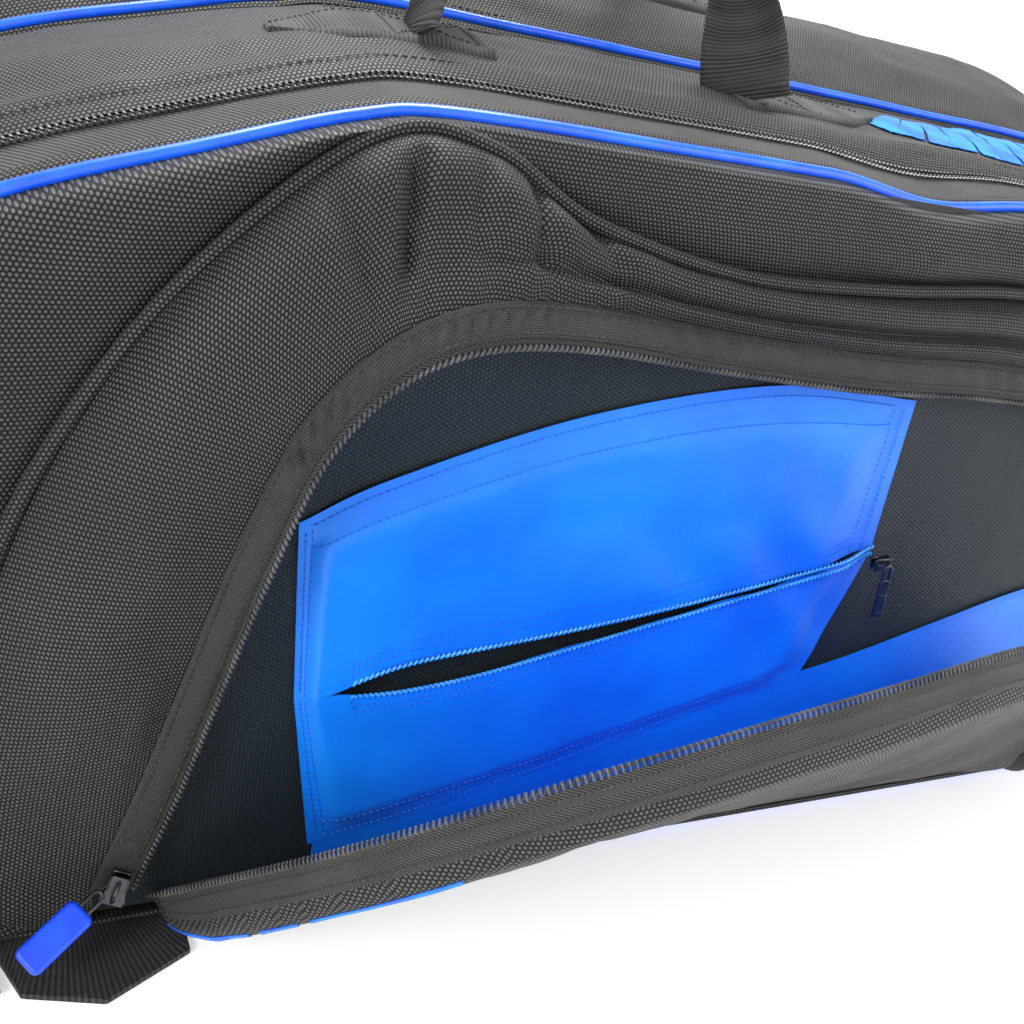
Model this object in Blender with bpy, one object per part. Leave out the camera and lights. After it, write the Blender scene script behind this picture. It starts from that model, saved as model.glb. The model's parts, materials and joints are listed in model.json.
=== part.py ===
"""Racket tournament bag lying on its bottom spine, with its near side pocket unzipped and hanging open.

Two compartments stand side by side on one base panel with a padded divider between them. Each has a top
zip and a side panel that opens outwards about its bottom seam. X runs along the bag, +Z is up, the near
side faces -Y, and the origin is on the surface the bag stands on, under the middle piping.
"""
import bpy
import bmesh
import numpy as np
from mathutils import Vector

# ---- driving dimensions, metres -------------------------------------------------------------------
PANEL_Y = 0.115            # seam plane of each side panel, either side of the middle
PIPING_R = 0.0028
MID_PIPING_R = 0.0026
GAP = 0.0003               # clearance between sewn pieces
PANEL_T = 0.004            # foam-backed side panel
WALL_T = 0.003             # foam-backed gusset
TAPE_T = 0.0012
COIL_R = 0.0011
SEAM_Z = 0.004             # height of the bottom seams, which are the side panels' fold lines
ZIP_Y = 0.092              # middle of each main zip
TAPE_W = 0.0095
END_BULGE = 0.012          # how far the ends crown outwards at mid width, as a share of the length
FABRIC_T = 0.0022          # unlined pocket fabric
LINING_T = 0.0008
POCKET_TAPE_W = 0.012
TAPE_CLEAR = 0.0009        # clearance beside a curved zip tape
COIL_SHIFT = 0.0014        # from the middle of a closed zip to the middle of each coil half
COIL_SIDES = 6
CURVE_STEPS = 2            # samples along each segment of an outline
FINE_STEPS = 6             # samples where a height is read off the outline
LIP_STEPS = 3              # samples along each segment of a webbing loop
UPPER_Z = 0.2              # all points of the outline above this belong to its top
DIVIDER_T = 0.004
DIVIDER_INSET = 0.0042     # clearance of the divider inside the gussets
PANEL_INSET = 0.0032       # side panels stop this far inside their piping
MID_PIPING_LIFT = 0.0020
BACK_LINING_T = 0.0010
SATIN_T = 0.0010

BASE_X = (-0.344, 0.388)   # ends of the base panel
CHANNEL_IN = 0.028         # the shoulder straps lie in two channels under the base
CHANNEL_OUT = 0.098
CHANNEL_H = 0.0135
CHANNEL_SLOPE = 0.004
NEAR_GUSSET_Y = (-0.060, -0.030)   # rows that shape the top between its zip and its middle
FAR_GUSSET_Y = (0.035, 0.060)
STRAP_T = 0.0100
WEBBING_T = 0.0028
STRAP_X = (-0.334, 0.200)
STRAP_ROWS = 9
STRAP_MARGIN = 0.005       # clearance of a strap inside its channel
STRAP_EDGE = 0.004         # how far its upper edges are drawn in
LOCK_PLACE = (-0.3455, 0.063, 0.0020)
LOCK_SIZE = (0.021, 0.044, 0.0034)
LOCK_BEVEL = 0.0008

HANDLE_X = (-0.100, 0.050)     # where the carry handles rise
HANDLE_TOP = 0.118             # height of a handle loop above its fold
HANDLE_W = 0.036
NEAR_HANDLE_Y = -0.045
FAR_HANDLE_Y = 0.060
HANDLE_LEAN = {"near": 0.031, "far": -0.044}    # how far a loop's top leans towards the middle
HANDLE_CLEAR = 0.0042          # height of a loop's fold above the cloth
HANDLE_TAPER = 0.35            # share of its width that the webbing loses where it is cupped
TAPER_RATE = 2.2
SHOULDER_X = (0.001, 0.012, 0.036)     # how far the loop leans in at three heights up its riser
SHOULDER_Z = (0.045, 0.028, 0.006)     # the first above its fold, the others below its top
PATCH_X = (-0.018, 0.066)      # a sewn end, from behind the fold to its tip
PATCH_ROWS = 7
PATCH_TIP_X = 0.045            # where the tip starts to narrow
PATCH_NARROWING = 0.75
PATCH_LOW = 0.0008
PATCH_HIGH = 0.0032
WRAP_HALF = 0.026              # half length of the grip
WRAP_DROP = 0.0022             # how far its ends dip
WRAP_WALL = (0.0045, 0.0045, 0.0085)   # beside, under and over the webbing
WRAP_HOLE = (0.0006, 0.0009, 0.0038)

SLIDER_X = 0.200               # main zip sliders, parked at this end
SLIDER_SIZE = (0.013, 0.009, 0.0045)
PULL_SIZE = (0.030, 0.008, 0.0022)
PULL_HINGE_X = SLIDER_X + SLIDER_SIZE[0] / 2 + 0.0022
SLIDER_CLEAR = 0.0016          # between a coil and the slider's body
SLIDER_BEVEL = 0.0010
PULL_CLEAR = 0.0006
PULL_RAISE = 0.0004
PULL_BEVEL = 0.0006
SMALL_SLIDER_T = 0.0045
POCKET_SLIDER_SIZE = (0.013, SMALL_SLIDER_T, 0.010)
POCKET_PULL_W = 0.0125
POCKET_PULL_T = 0.0040
POCKET_PULL_BEVEL = 0.0012
INNER_SLIDER_SIZE = (0.009, 0.0040, 0.007)
INNER_SLIDER_BEVEL = 0.0008
INNER_PULL_SIZE = (0.0060, 0.0016, 0.0240)
INNER_PULL_DROP = 0.0130       # from the hinge to the middle of the pull
INNER_PULL_BEVEL = 0.0005
FAR_SLIDER_SIZE = (0.013, SMALL_SLIDER_T, 0.009)
FAR_PULL_SIZE = (0.008, 0.0022, 0.0300)
FAR_PULL_DROP = 0.0160

UPPER_WALL_ROWS = 5
LOWER_WALL_ROWS = 6
UPPER_BULGE = 0.010            # how far the pocket's two walls puff out
LOWER_BULGE = 0.012
PUFF_POWER = 0.8
TAPER_POWER = 0.5
NARROW_TAPE = 0.0040           # width of the hanging wall's tape at its two ends
FOLD_INSET = 0.006             # the wall's bottom seam stops this far inside its lip
FOLD_Z = 0.010

FAR_POCKET_X = (-0.250, 0.250)
FAR_POCKET_Z = (0.045, 0.262)
FAR_POCKET_DEPTH = 0.040
FAR_POCKET_U = (0.0, 0.02, 0.08, 0.25, 0.5, 0.75, 0.92, 0.98, 1.0)
FAR_POCKET_V = (0.0, 0.03, 0.12, 0.35, 0.65, 0.88, 0.97, 1.0)
FAR_POCKET_ROUND = 0.12        # share of its sides over which it rises from its seam
FAR_POCKET_POWER = 2.2
FAR_POCKET_SHRINK = 0.10       # share by which its top is shorter than its bottom
FAR_ZIP_HALF = 0.160
FAR_ZIP_R = COIL_R * 1.4

END_LOOP = ((0.0, 0.075), (0.004, 0.090), (0.020, 0.120), (0.024, 0.145), (0.020, 0.170), (0.004, 0.200),
            (0.0, 0.215))      # grab loop: how far it stands off the end, and its height
END_LOOP_CLEAR = 0.0060
END_LOOP_HALF_W = 0.0125

# Side outline of a side panel in the XZ plane, from one bottom corner over the top to the other.
OUTLINE = [
    (-0.344, 0.004), (-0.366, 0.020), (-0.375, 0.070), (-0.375, 0.140), (-0.362, 0.203), (-0.322, 0.252),
    (-0.254, 0.284), (-0.198, 0.304), (-0.150, 0.320), (-0.118, 0.3252), (-0.040, 0.3258), (0.040, 0.3258),
    (0.120, 0.3255), (0.200, 0.3252), (0.280, 0.3245), (0.338, 0.3205), (0.380, 0.298), (0.407, 0.250),
    (0.418, 0.185), (0.420, 0.110), (0.416, 0.050), (0.406, 0.018), (0.388, 0.004)]

# Seam of the near side pocket on its panel (x, z), clockwise from the low end by the slider.
POCKET_SEAM = [
    (-0.264, 0.030), (-0.266, 0.100), (-0.256, 0.170), (-0.226, 0.233), (-0.186, 0.281), (-0.140, 0.312),
    (-0.100, 0.310), (-0.058, 0.292), (0.010, 0.284), (0.090, 0.285), (0.170, 0.289), (0.245, 0.276),
    (0.300, 0.240), (0.328, 0.180), (0.334, 0.100), (0.330, 0.030)]

# Edge of the upper pocket wall where its zip tape ends (x, y, z), beside the seam points above.
UPPER_LIP = [
    (-0.2065, -0.1255, 0.024), (-0.194, -0.130, 0.066), (-0.184, -0.137, 0.112), (-0.172, -0.149, 0.172),
    (-0.159, -0.1545, 0.216), (-0.137, -0.155, 0.243), (-0.108, -0.1535, 0.2555), (-0.064, -0.147, 0.256),
    (0.000, -0.140, 0.249), (0.080, -0.137, 0.243), (0.160, -0.135, 0.2415), (0.222, -0.134, 0.234),
    (0.268, -0.132, 0.206), (0.292, -0.130, 0.160), (0.301, -0.1275, 0.090), (0.3065, -0.1255, 0.024)]

# Edge of the lower pocket wall, hanging open (x, y, z).
LOWER_LIP = [
    (-0.2010, -0.1290, 0.022), (-0.187, -0.151, 0.044), (-0.165, -0.191, 0.084), (-0.144, -0.222, 0.117),
    (-0.121, -0.242, 0.141), (-0.098, -0.253, 0.156), (-0.065, -0.2565, 0.165), (-0.028, -0.255, 0.170),
    (0.019, -0.251, 0.174), (0.090, -0.240, 0.176), (0.150, -0.224, 0.165), (0.205, -0.198, 0.137),
    (0.250, -0.168, 0.096), (0.285, -0.142, 0.050), (0.3010, -0.1290, 0.022)]

# Inner slip pocket, corners as (x, z): top edge, then the zip line, then the bottom edge, left and right.
INNER_TOP = [(-0.150, 0.178), (-0.118, 0.193), (-0.038, 0.220), (0.054, 0.235), (0.128, 0.234)]
INNER_ZIP = [(-0.143, 0.0935), (-0.096, 0.1045), (-0.020, 0.1225), (0.060, 0.1415), (0.118, 0.1555)]
INNER_BOTTOM = [(-0.135, 0.032), (-0.090, 0.036), (-0.020, 0.045), (0.050, 0.058), (0.104, 0.072)]
INNER_GAPE = [0.0, 0.0065, 0.0060, 0.0018, 0.0]     # half opening of the inner zip along its line
INNER_STAND = 0.0080                                 # how far its front stands off the lining
INNER_ROWS = (0.0, 0.12, 0.5, 1.0)                   # rows of cloth between its seam and its zip
INNER_RISE = 5.0
INNER_COIL_FORWARD = 0.0005

# Adjusting webbing and anchor tab of a shoulder strap, flat on the floor (x, distance from the middle).
WEBBING_OUTLINE = [
    (-0.357, 0.044), (-0.3575, 0.080), (-0.350, 0.124), (-0.302, 0.1245), (-0.264, 0.1245), (-0.2545, 0.148),
    (-0.300, 0.164), (-0.368, 0.164), (-0.386, 0.138), (-0.386, 0.044)]
TAB_OUTLINE = [(-0.258, 0.1215), (-0.186, 0.1215), (-0.186, 0.141), (-0.219, 0.158), (-0.2475, 0.1475)]


# ---- materials ------------------------------------------------------------------------------------
def material(name, colour, roughness, metallic=0.0):
    mat = bpy.data.materials.new(name)
    mat.use_nodes = True
    shader = mat.node_tree.nodes["Principled BSDF"]
    shader.inputs["Base Color"].default_value = (*colour, 1.0)
    shader.inputs["Roughness"].default_value = roughness
    shader.inputs["Metallic"].default_value = metallic
    return mat


def clear_scene():
    for obj in list(bpy.data.objects):
        bpy.data.objects.remove(obj, do_unlink=True)


# ---- mesh helpers ---------------------------------------------------------------------------------
WELD = 1e-6                # points closer than this are one point
SHARP_ANGLE = np.radians(40.0)
OFF_AXIS = (0.13, 0.98, 0.11)      # a direction no tube runs along
BEVEL_STEPS = 2


def add_piece(name, verts, faces, mat, body="bag"):
    """Make one closed mesh object in a body, its origin on that body's pivot."""
    empty = BODIES[body]
    pivot = Vector(PIVOTS[body])
    mesh = bpy.data.meshes.new(name)
    mesh.from_pydata([Vector(v) - pivot for v in verts], [], faces)
    bm = bmesh.new()
    bm.from_mesh(mesh)
    bmesh.ops.remove_doubles(bm, verts=bm.verts, dist=WELD)
    bmesh.ops.recalc_face_normals(bm, faces=bm.faces)
    bm.to_mesh(mesh)
    bm.free()
    mesh.shade_smooth()
    mesh.set_sharp_from_angle(angle=SHARP_ANGLE)
    mesh.materials.append(mat)
    obj = bpy.data.objects.new(name, mesh)
    bpy.context.scene.collection.objects.link(obj)
    obj.parent = empty
    return obj


def spline(points, per_segment):
    """Catmull-Rom curve through the points, as an array with one row for each sample."""
    p = np.array(points, float)
    ends = np.vstack([2 * p[0] - p[1], p, 2 * p[-1] - p[-2]])
    rows = []
    for i in range(len(p) - 1):
        a, b, c, d = ends[i:i + 4]
        for k in range(per_segment):
            t = k / per_segment
            rows.append(0.5 * (2 * b + (c - a) * t + (2 * a - 5 * b + 4 * c - d) * t * t
                               + (3 * b - a - 3 * c + d) * t ** 3))
    rows.append(p[-1])
    return np.array(rows)


def slab(name, outer, inner, mat, body="bag"):
    """Closed solid between two grids of points that face each other."""
    outer = np.array(outer)
    inner = np.array(inner)
    rows, cols = outer.shape[:2]
    count = rows * cols
    verts = [tuple(v) for v in outer.reshape(-1, 3)] + [tuple(v) for v in inner.reshape(-1, 3)]
    faces = []
    for i in range(rows - 1):
        for j in range(cols - 1):
            a = i * cols + j
            quad = (a, a + 1, a + cols + 1, a + cols)
            faces.append(quad)
            faces.append(tuple(count + v for v in reversed(quad)))
    edge = list(range(cols))
    edge += [i * cols + cols - 1 for i in range(1, rows)]
    edge += [(rows - 1) * cols + j for j in range(cols - 2, -1, -1)]
    edge += [i * cols for i in range(rows - 2, 0, -1)]
    for a, b in zip(edge, edge[1:] + edge[:1]):
        faces.append((b, a, a + count, b + count))
    return add_piece(name, verts, faces, mat, body)


def grid_normals(grid):
    grid = np.array(grid)
    along = np.gradient(grid, axis=0)
    across = np.gradient(grid, axis=1)
    normal = np.cross(along, across)
    return normal / np.linalg.norm(normal, axis=2)[:, :, None]


def sheet(name, grid, thickness, mat, body="bag", lift=0.0):
    """Closed sheet with one face on the grid, raised by lift, and the other behind it along the normals."""
    normal = grid_normals(grid)
    front = np.array(grid) + normal * lift
    return slab(name, front, front + normal * thickness, mat, body)


def tube(name, path, radius, sides, mat, body="bag", closed=False):
    """Round tube along a path, with flat ends unless it closes on itself."""
    path = np.array(path, float)
    count = len(path)
    if closed:
        tangent = np.roll(path, -1, axis=0) - np.roll(path, 1, axis=0)
    else:
        tangent = np.gradient(path, axis=0)
    tangent /= np.linalg.norm(tangent, axis=1)[:, None]
    side = np.cross(tangent, OFF_AXIS)
    side /= np.linalg.norm(side, axis=1)[:, None]
    up = np.cross(side, tangent)
    verts = []
    for k in range(count):
        for s in range(sides):
            angle = 2 * np.pi * s / sides
            verts.append(tuple(path[k] + radius * (np.cos(angle) * side[k] + np.sin(angle) * up[k])))
    faces = []
    for k in range(count if closed else count - 1):
        n = (k + 1) % count
        for s in range(sides):
            t = (s + 1) % sides
            faces.append((k * sides + s, k * sides + t, n * sides + t, n * sides + s))
    if not closed:
        faces.append(tuple(range(sides)))
        faces.append(tuple(range((count - 1) * sides, count * sides))[::-1])
    return add_piece(name, verts, faces, mat, body)


def prism(name, outline, axis, low, high, mat, body="bag"):
    """Extrude a closed outline along an axis from low to high."""
    def point(p, level):
        coords = list(p)
        coords.insert(axis, level)
        return tuple(coords)
    count = len(outline)
    verts = [point(p, low) for p in outline] + [point(p, high) for p in outline]
    faces = [tuple(range(count)), tuple(range(count, 2 * count))[::-1]]
    for k in range(count):
        n = (k + 1) % count
        faces.append((k, n, n + count, k + count))
    return add_piece(name, verts, faces, mat, body)


def block(name, centre, size, mat, body="bag", bevel=0.0, turn=None):
    """Box with bevelled edges, turned by a rotation matrix about its centre if one is given."""
    bm = bmesh.new()
    bmesh.ops.create_cube(bm, size=1.0)
    bmesh.ops.scale(bm, vec=size, verts=bm.verts)
    if bevel:
        edges = list(bm.edges)
        bmesh.ops.bevel(bm, geom=edges, offset=bevel, segments=BEVEL_STEPS, affect="EDGES", profile=0.5)
    if turn is not None:
        bmesh.ops.transform(bm, matrix=turn, verts=bm.verts)
    bmesh.ops.translate(bm, vec=centre, verts=bm.verts)
    verts = [tuple(v.co) for v in bm.verts]
    faces = [tuple(v.index for v in f.verts) for f in bm.faces]
    bm.free()
    return add_piece(name, verts, faces, mat, body)


# ---- the bag's surface ----------------------------------------------------------------------------
LIFT_Y = [-0.115, -0.092, -0.045, 0.0, 0.035, 0.070, 0.092, 0.115]
LIFT_Z = [0.0, 0.009, 0.021, 0.030, 0.052, 0.066, 0.061, 0.050]
CROWN_MID = 0.030          # the crown fades away from here towards both ends
CROWN_HALF = 0.420
NOSE_LIFT = 0.35           # share by which the crown grows along the sloping nose
NOSE_X = (-0.150, -0.250)
CROWN_POWER = 8
PANEL_RISE = 0.322         # from the bottom seam to the top of the outline


def rim(y, offset=0.0, per_segment=CURVE_STEPS):
    """The bag's outline at depth y, moved outwards by offset, from one bottom corner to the other."""
    base = spline(OUTLINE, per_segment)
    x, z = base[:, 0], base[:, 1]
    crown = np.clip(1.0 - ((x - CROWN_MID) / CROWN_HALF) ** CROWN_POWER, 0.0, 1.0)
    crown = crown * (1.0 + NOSE_LIFT * np.clip((x - NOSE_X[0]) / (NOSE_X[1] - NOSE_X[0]), 0.0, 1.0))
    lift = np.interp(y, LIFT_Y, LIFT_Z)
    z = SEAM_Z + (z - SEAM_Z) * (1.0 + lift * crown / PANEL_RISE)
    x = x * (1.0 + END_BULGE * (1.0 - (y / PANEL_Y) ** 2))
    curve = np.column_stack([x, z])
    tangent = np.gradient(curve, axis=0)
    tangent /= np.linalg.norm(tangent, axis=1)[:, None]
    outward = np.column_stack([-tangent[:, 1], tangent[:, 0]])
    curve = curve + outward * offset
    return np.column_stack([curve[:, 0], np.full(len(curve), y), curve[:, 1]])


def top_height(x, y):
    """Height of the top panel at (x, y)."""
    curve = rim(y, 0.0, FINE_STEPS)
    upper = curve[curve[:, 2] > UPPER_Z]
    return float(np.interp(x, upper[:, 0], upper[:, 2]))


def gusset(name, y_values, thickness, mat, body="bag"):
    outer = [rim(y) for y in y_values]
    inner = [rim(y, -thickness) for y in y_values]
    return slab(name, outer, inner, mat, body)


def side_plate(name, low, high, inset, mat, body):
    middle = 0.0 if low * high <= 0.0 else np.copysign(PANEL_Y, low)
    curve = rim(middle, -inset)
    outline = [(p[0], max(p[2], SEAM_Z + inset)) for p in curve]
    return prism(name, outline, 1, low, high, mat, body)


def main_zip(side, fixed_body, lid_body, prefix):
    """Strip, tapes and coil halves of a main zip; side is -1 for the near compartment and 1 for the far."""
    inner_edge = ZIP_Y - COIL_SHIFT - COIL_R
    outer_edge = ZIP_Y + COIL_SHIFT + COIL_R
    gusset(prefix + "_zip_inner_tape", [side * (inner_edge - TAPE_W), side * (inner_edge - GAP)],
           TAPE_T, TAPE_BLACK, fixed_body)
    gusset(prefix + "_zip_outer_tape", [side * (outer_edge + GAP), side * (outer_edge + TAPE_W)],
           TAPE_T, TAPE_BLACK, lid_body)
    gusset(prefix + "_lid_rim", [side * (outer_edge + TAPE_W + GAP), side * (PANEL_Y - PIPING_R - GAP)],
           WALL_T, FABRIC, lid_body)
    halves = (("inner", ZIP_Y - COIL_SHIFT, fixed_body), ("outer", ZIP_Y + COIL_SHIFT, lid_body))
    for label, y, body in halves:
        tube("%s_zip_%s_coil" % (prefix, label), rim(side * y), COIL_R, COIL_SIDES, COIL_DARK, body)


BOTTOM_POINTS = 8


def piping_ring(name, y, radius, offset, mat, body):
    """Piping cord that runs all the way round a seam, along the bottom too."""
    curve = rim(y, offset)
    bottom = curve[0, 2]
    run = np.linspace(curve[-1, 0], curve[0, 0], BOTTOM_POINTS)[1:-1]
    low = np.column_stack([run, np.full(len(run), y), np.full(len(run), bottom)])
    tube(name, np.vstack([curve, low]), radius, COIL_SIDES, mat, body, closed=True)


# ---- assemblies -----------------------------------------------------------------------------------
def build_shell():
    """Base panel, gussets, divider and middle piping, which stay fixed."""
    edge = PANEL_Y - PIPING_R - GAP
    low = [(-edge, 0.0), (-CHANNEL_OUT - CHANNEL_SLOPE, 0.0), (-CHANNEL_OUT, CHANNEL_H),
           (-CHANNEL_IN, CHANNEL_H), (-CHANNEL_IN + CHANNEL_SLOPE, 0.0)]
    low += [(-y, z) for y, z in reversed(low)]
    high = [(y, z + PANEL_T) for y, z in reversed(low)]
    prism("base_panel", low + high, 0, BASE_X[0], BASE_X[1], FABRIC)
    tape_edge = ZIP_Y - COIL_SHIFT - COIL_R - TAPE_W - GAP
    seam = MID_PIPING_R + 2 * GAP
    gusset("near_gusset", [-tape_edge, *NEAR_GUSSET_Y, -seam], WALL_T, FABRIC)
    gusset("far_gusset", [seam, *FAR_GUSSET_Y, tape_edge], WALL_T, FABRIC)
    side_plate("centre_divider", -DIVIDER_T / 2, DIVIDER_T / 2, DIVIDER_INSET, FOAM_LINING, "bag")
    tube("mid_piping", rim(0.0, MID_PIPING_LIFT)[1:-1], MID_PIPING_R, COIL_SIDES, VINYL_BLUE)


def build_lids():
    """Side panels with their zip halves and piping; each folds down about its bottom seam."""
    main_zip(-1, "bag", "near_lid", "near")
    main_zip(1, "bag", "far_lid", "far")
    side_plate("near_side_panel", -PANEL_Y - PANEL_T, -PANEL_Y, PANEL_INSET, FABRIC, "near_lid")
    side_plate("far_side_panel", PANEL_Y, PANEL_Y + PANEL_T, PANEL_INSET, FABRIC, "far_lid")
    piping_ring("near_piping", -PANEL_Y, PIPING_R, 0.0, VINYL_BLUE, "near_lid")
    piping_ring("far_piping", PANEL_Y, PIPING_R, 0.0, VINYL_BLUE, "far_lid")


def pocket_lining(face):
    """Mesh lining of the near pocket's back wall."""
    seam = [tuple(p) for p in spline(POCKET_SEAM, CURVE_STEPS)]
    prism("pocket_back_lining", seam, 1, face - BACK_LINING_T, face, LINING, "near_lid")


def band(first, second, end, cols, bulge):
    """Grid from one edge curve towards another, stopping a distance short of it, and puffed out by bulge."""
    first = np.array(first)
    second = np.array(second)
    span = np.linalg.norm(second - first, axis=1)
    grid = []
    for k in range(cols):
        share = k / (cols - 1)
        t = (1.0 - end / span) * share
        row = first + (second - first) * np.reshape(t, (-1, 1))
        puff = bulge * np.sin(np.pi * np.reshape(t, (-1, 1))) ** PUFF_POWER
        row[:, 1:2] -= puff
        grid.append(row)
    return np.swapaxes(np.array(grid), 0, 1)


def lip_tape(root, lip):
    """Grid of a zip tape from just clear of a wall's edge to just clear of the coil at its lip."""
    step = lip - root
    span = np.linalg.norm(step, axis=1)[:, None]
    start = root + step * TAPE_CLEAR / span
    end = lip - step * (COIL_R + TAPE_CLEAR) / span
    return np.swapaxes(np.array([start, 0.5 * (start + end), end]), 0, 1)


def build_pocket():
    """Near side pocket: back lining, upper wall on the side panel, lower wall hanging open."""
    face = -PANEL_Y - PANEL_T - GAP
    pocket_lining(face)
    seam_y = face - BACK_LINING_T - GAP
    seam = spline([(x, seam_y, z) for x, z in POCKET_SEAM], CURVE_STEPS)
    upper = spline(UPPER_LIP, CURVE_STEPS)
    taper = np.sin(np.linspace(0.0, np.pi, len(upper)))[:, None] ** TAPER_POWER
    wall = band(seam, upper, POCKET_TAPE_W, UPPER_WALL_ROWS, UPPER_BULGE * taper)
    sheet("pocket_upper_wall", wall, FABRIC_T, FABRIC, "near_lid", -FABRIC_T)
    sheet("pocket_upper_tape", lip_tape(wall[:, -1], upper), TAPE_T, TAPE_BLACK, "near_lid", -TAPE_T)
    tube("pocket_upper_coil", upper, COIL_R, COIL_SIDES, COIL_DARK, "near_lid")

    lower = spline(LOWER_LIP, CURVE_STEPS)
    share = np.linspace(0.0, 1.0, len(lower))
    fold_x = LOWER_LIP[0][0] + FOLD_INSET + share * (LOWER_LIP[-1][0] - LOWER_LIP[0][0] - 2 * FOLD_INSET)
    fold = np.column_stack([fold_x, np.full(len(lower), seam_y - 2 * GAP), np.full(len(lower), FOLD_Z)])
    taper = np.sin(np.linspace(0.0, np.pi, len(lower)))[:, None] ** TAPER_POWER
    tape_w = NARROW_TAPE + (POCKET_TAPE_W - NARROW_TAPE) * taper[:, 0]
    wall = band(fold, lower, tape_w, LOWER_WALL_ROWS, LOWER_BULGE * taper)
    sheet("pocket_lower_wall", wall, FABRIC_T, FABRIC, "pocket_flap")
    sheet("pocket_flap_lining", wall[3:-3, 1:], LINING_T, NYLON_BLUE, "pocket_flap", -LINING_T - 2 * GAP)
    sheet("pocket_lower_tape", lip_tape(wall[2:-2, -1], lower[2:-2]), TAPE_T, TAPE_BLACK, "pocket_flap")
    tube("pocket_lower_coil", lower, COIL_R, COIL_SIDES, COIL_DARK, "pocket_flap")


def inner_edge_curve(points, stand, y_wall):
    return np.array([(x, y_wall - s, z) for (x, z), s in zip(points, stand)])


def build_inner_pocket():
    """Blue slip pocket on the lining with its own zip, partly open."""
    wall_y = -PANEL_Y - PANEL_T - 2 * GAP - BACK_LINING_T
    flat = [GAP] * len(INNER_ZIP)
    stand = [GAP] + [INNER_STAND] * (len(INNER_ZIP) - 2) + [GAP * 2]
    top = inner_edge_curve(INNER_TOP, flat, wall_y)
    bottom = inner_edge_curve(INNER_BOTTOM, flat, wall_y)
    zip_line = inner_edge_curve(INNER_ZIP, stand, wall_y)
    for part, edge, sign in (("upper", top, 1.0), ("lower", bottom, -1.0)):
        gape = np.array(INNER_GAPE)
        coil = zip_line + np.column_stack([gape * 0, gape * 0, sign * (gape + COIL_R + 2 * GAP)])
        tape_edge = coil + np.array([0.0, 0.0, sign * (COIL_R + GAP)])
        rows = []
        for share in INNER_ROWS:
            row = edge + (tape_edge - edge) * share
            row[1:-1, 1] = np.minimum(row[1:-1, 1], wall_y - INNER_STAND * min(1.0, share * INNER_RISE))
            rows.append(row)
        rows = np.array(rows) if sign > 0 else np.array(rows)[::-1]
        cloth = np.array([spline(r, CURVE_STEPS) for r in rows])
        sheet("inner_pocket_" + part, cloth, SATIN_T, NYLON_BLUE, "near_lid")
        teeth = spline(coil + [0.0, -INNER_COIL_FORWARD, 0.0], CURVE_STEPS)
        tube("inner_zip_%s_coil" % part, teeth, COIL_R, COIL_SIDES, COIL_BLUE, "near_lid")


def slider_height(y):
    """Height of a main slider's middle."""
    return top_height(SLIDER_X, y) + COIL_R + SLIDER_CLEAR + SLIDER_SIZE[2] / 2


def build_sliders():
    """Zip sliders and the pulls that hinge on them."""
    for prefix, y in (("near", -ZIP_Y), ("far", ZIP_Y)):
        z = slider_height(y)
        block(prefix + "_zip_slider", (SLIDER_X, y, z), SLIDER_SIZE, METAL, prefix + "_slider", SLIDER_BEVEL)
        place = (PULL_HINGE_X + PULL_SIZE[0] / 2 + PULL_CLEAR, y, z + PULL_RAISE)
        block(prefix + "_zip_pull", place, PULL_SIZE, RUBBER_BLUE, prefix + "_pull", PULL_BEVEL)
    block("pocket_zip_slider", POCKET_SLIDER, POCKET_SLIDER_SIZE, METAL, "near_lid", SLIDER_BEVEL)
    start = Vector(PIVOTS["pocket_pull"])
    end = Vector(POCKET_PULL_TIP)
    turn = (end - start).to_track_quat("X", "Y").to_matrix().to_4x4()
    length = (end - start).length
    middle = start + (end - start) * 0.5
    size = (length, POCKET_PULL_W, POCKET_PULL_T)
    block("pocket_zip_pull", middle, size, RUBBER_BLUE, "pocket_pull", POCKET_PULL_BEVEL, turn)
    block("inner_zip_slider", INNER_SLIDER, INNER_SLIDER_SIZE, METAL, "inner_slider", INNER_SLIDER_BEVEL)
    x, y, z = PIVOTS["inner_pull"]
    block("inner_zip_pull", (x, y, z - INNER_PULL_DROP), INNER_PULL_SIZE, METAL, "inner_pull",
          INNER_PULL_BEVEL)


def handle_base(y_base):
    """Heights of a handle loop's two folds, clear of the sewn ends they rise from."""
    return [max(top_height(x, y_base + s * HANDLE_W / 2) for s in (-1, 1)) + HANDLE_CLEAR for x in HANDLE_X]


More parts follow.
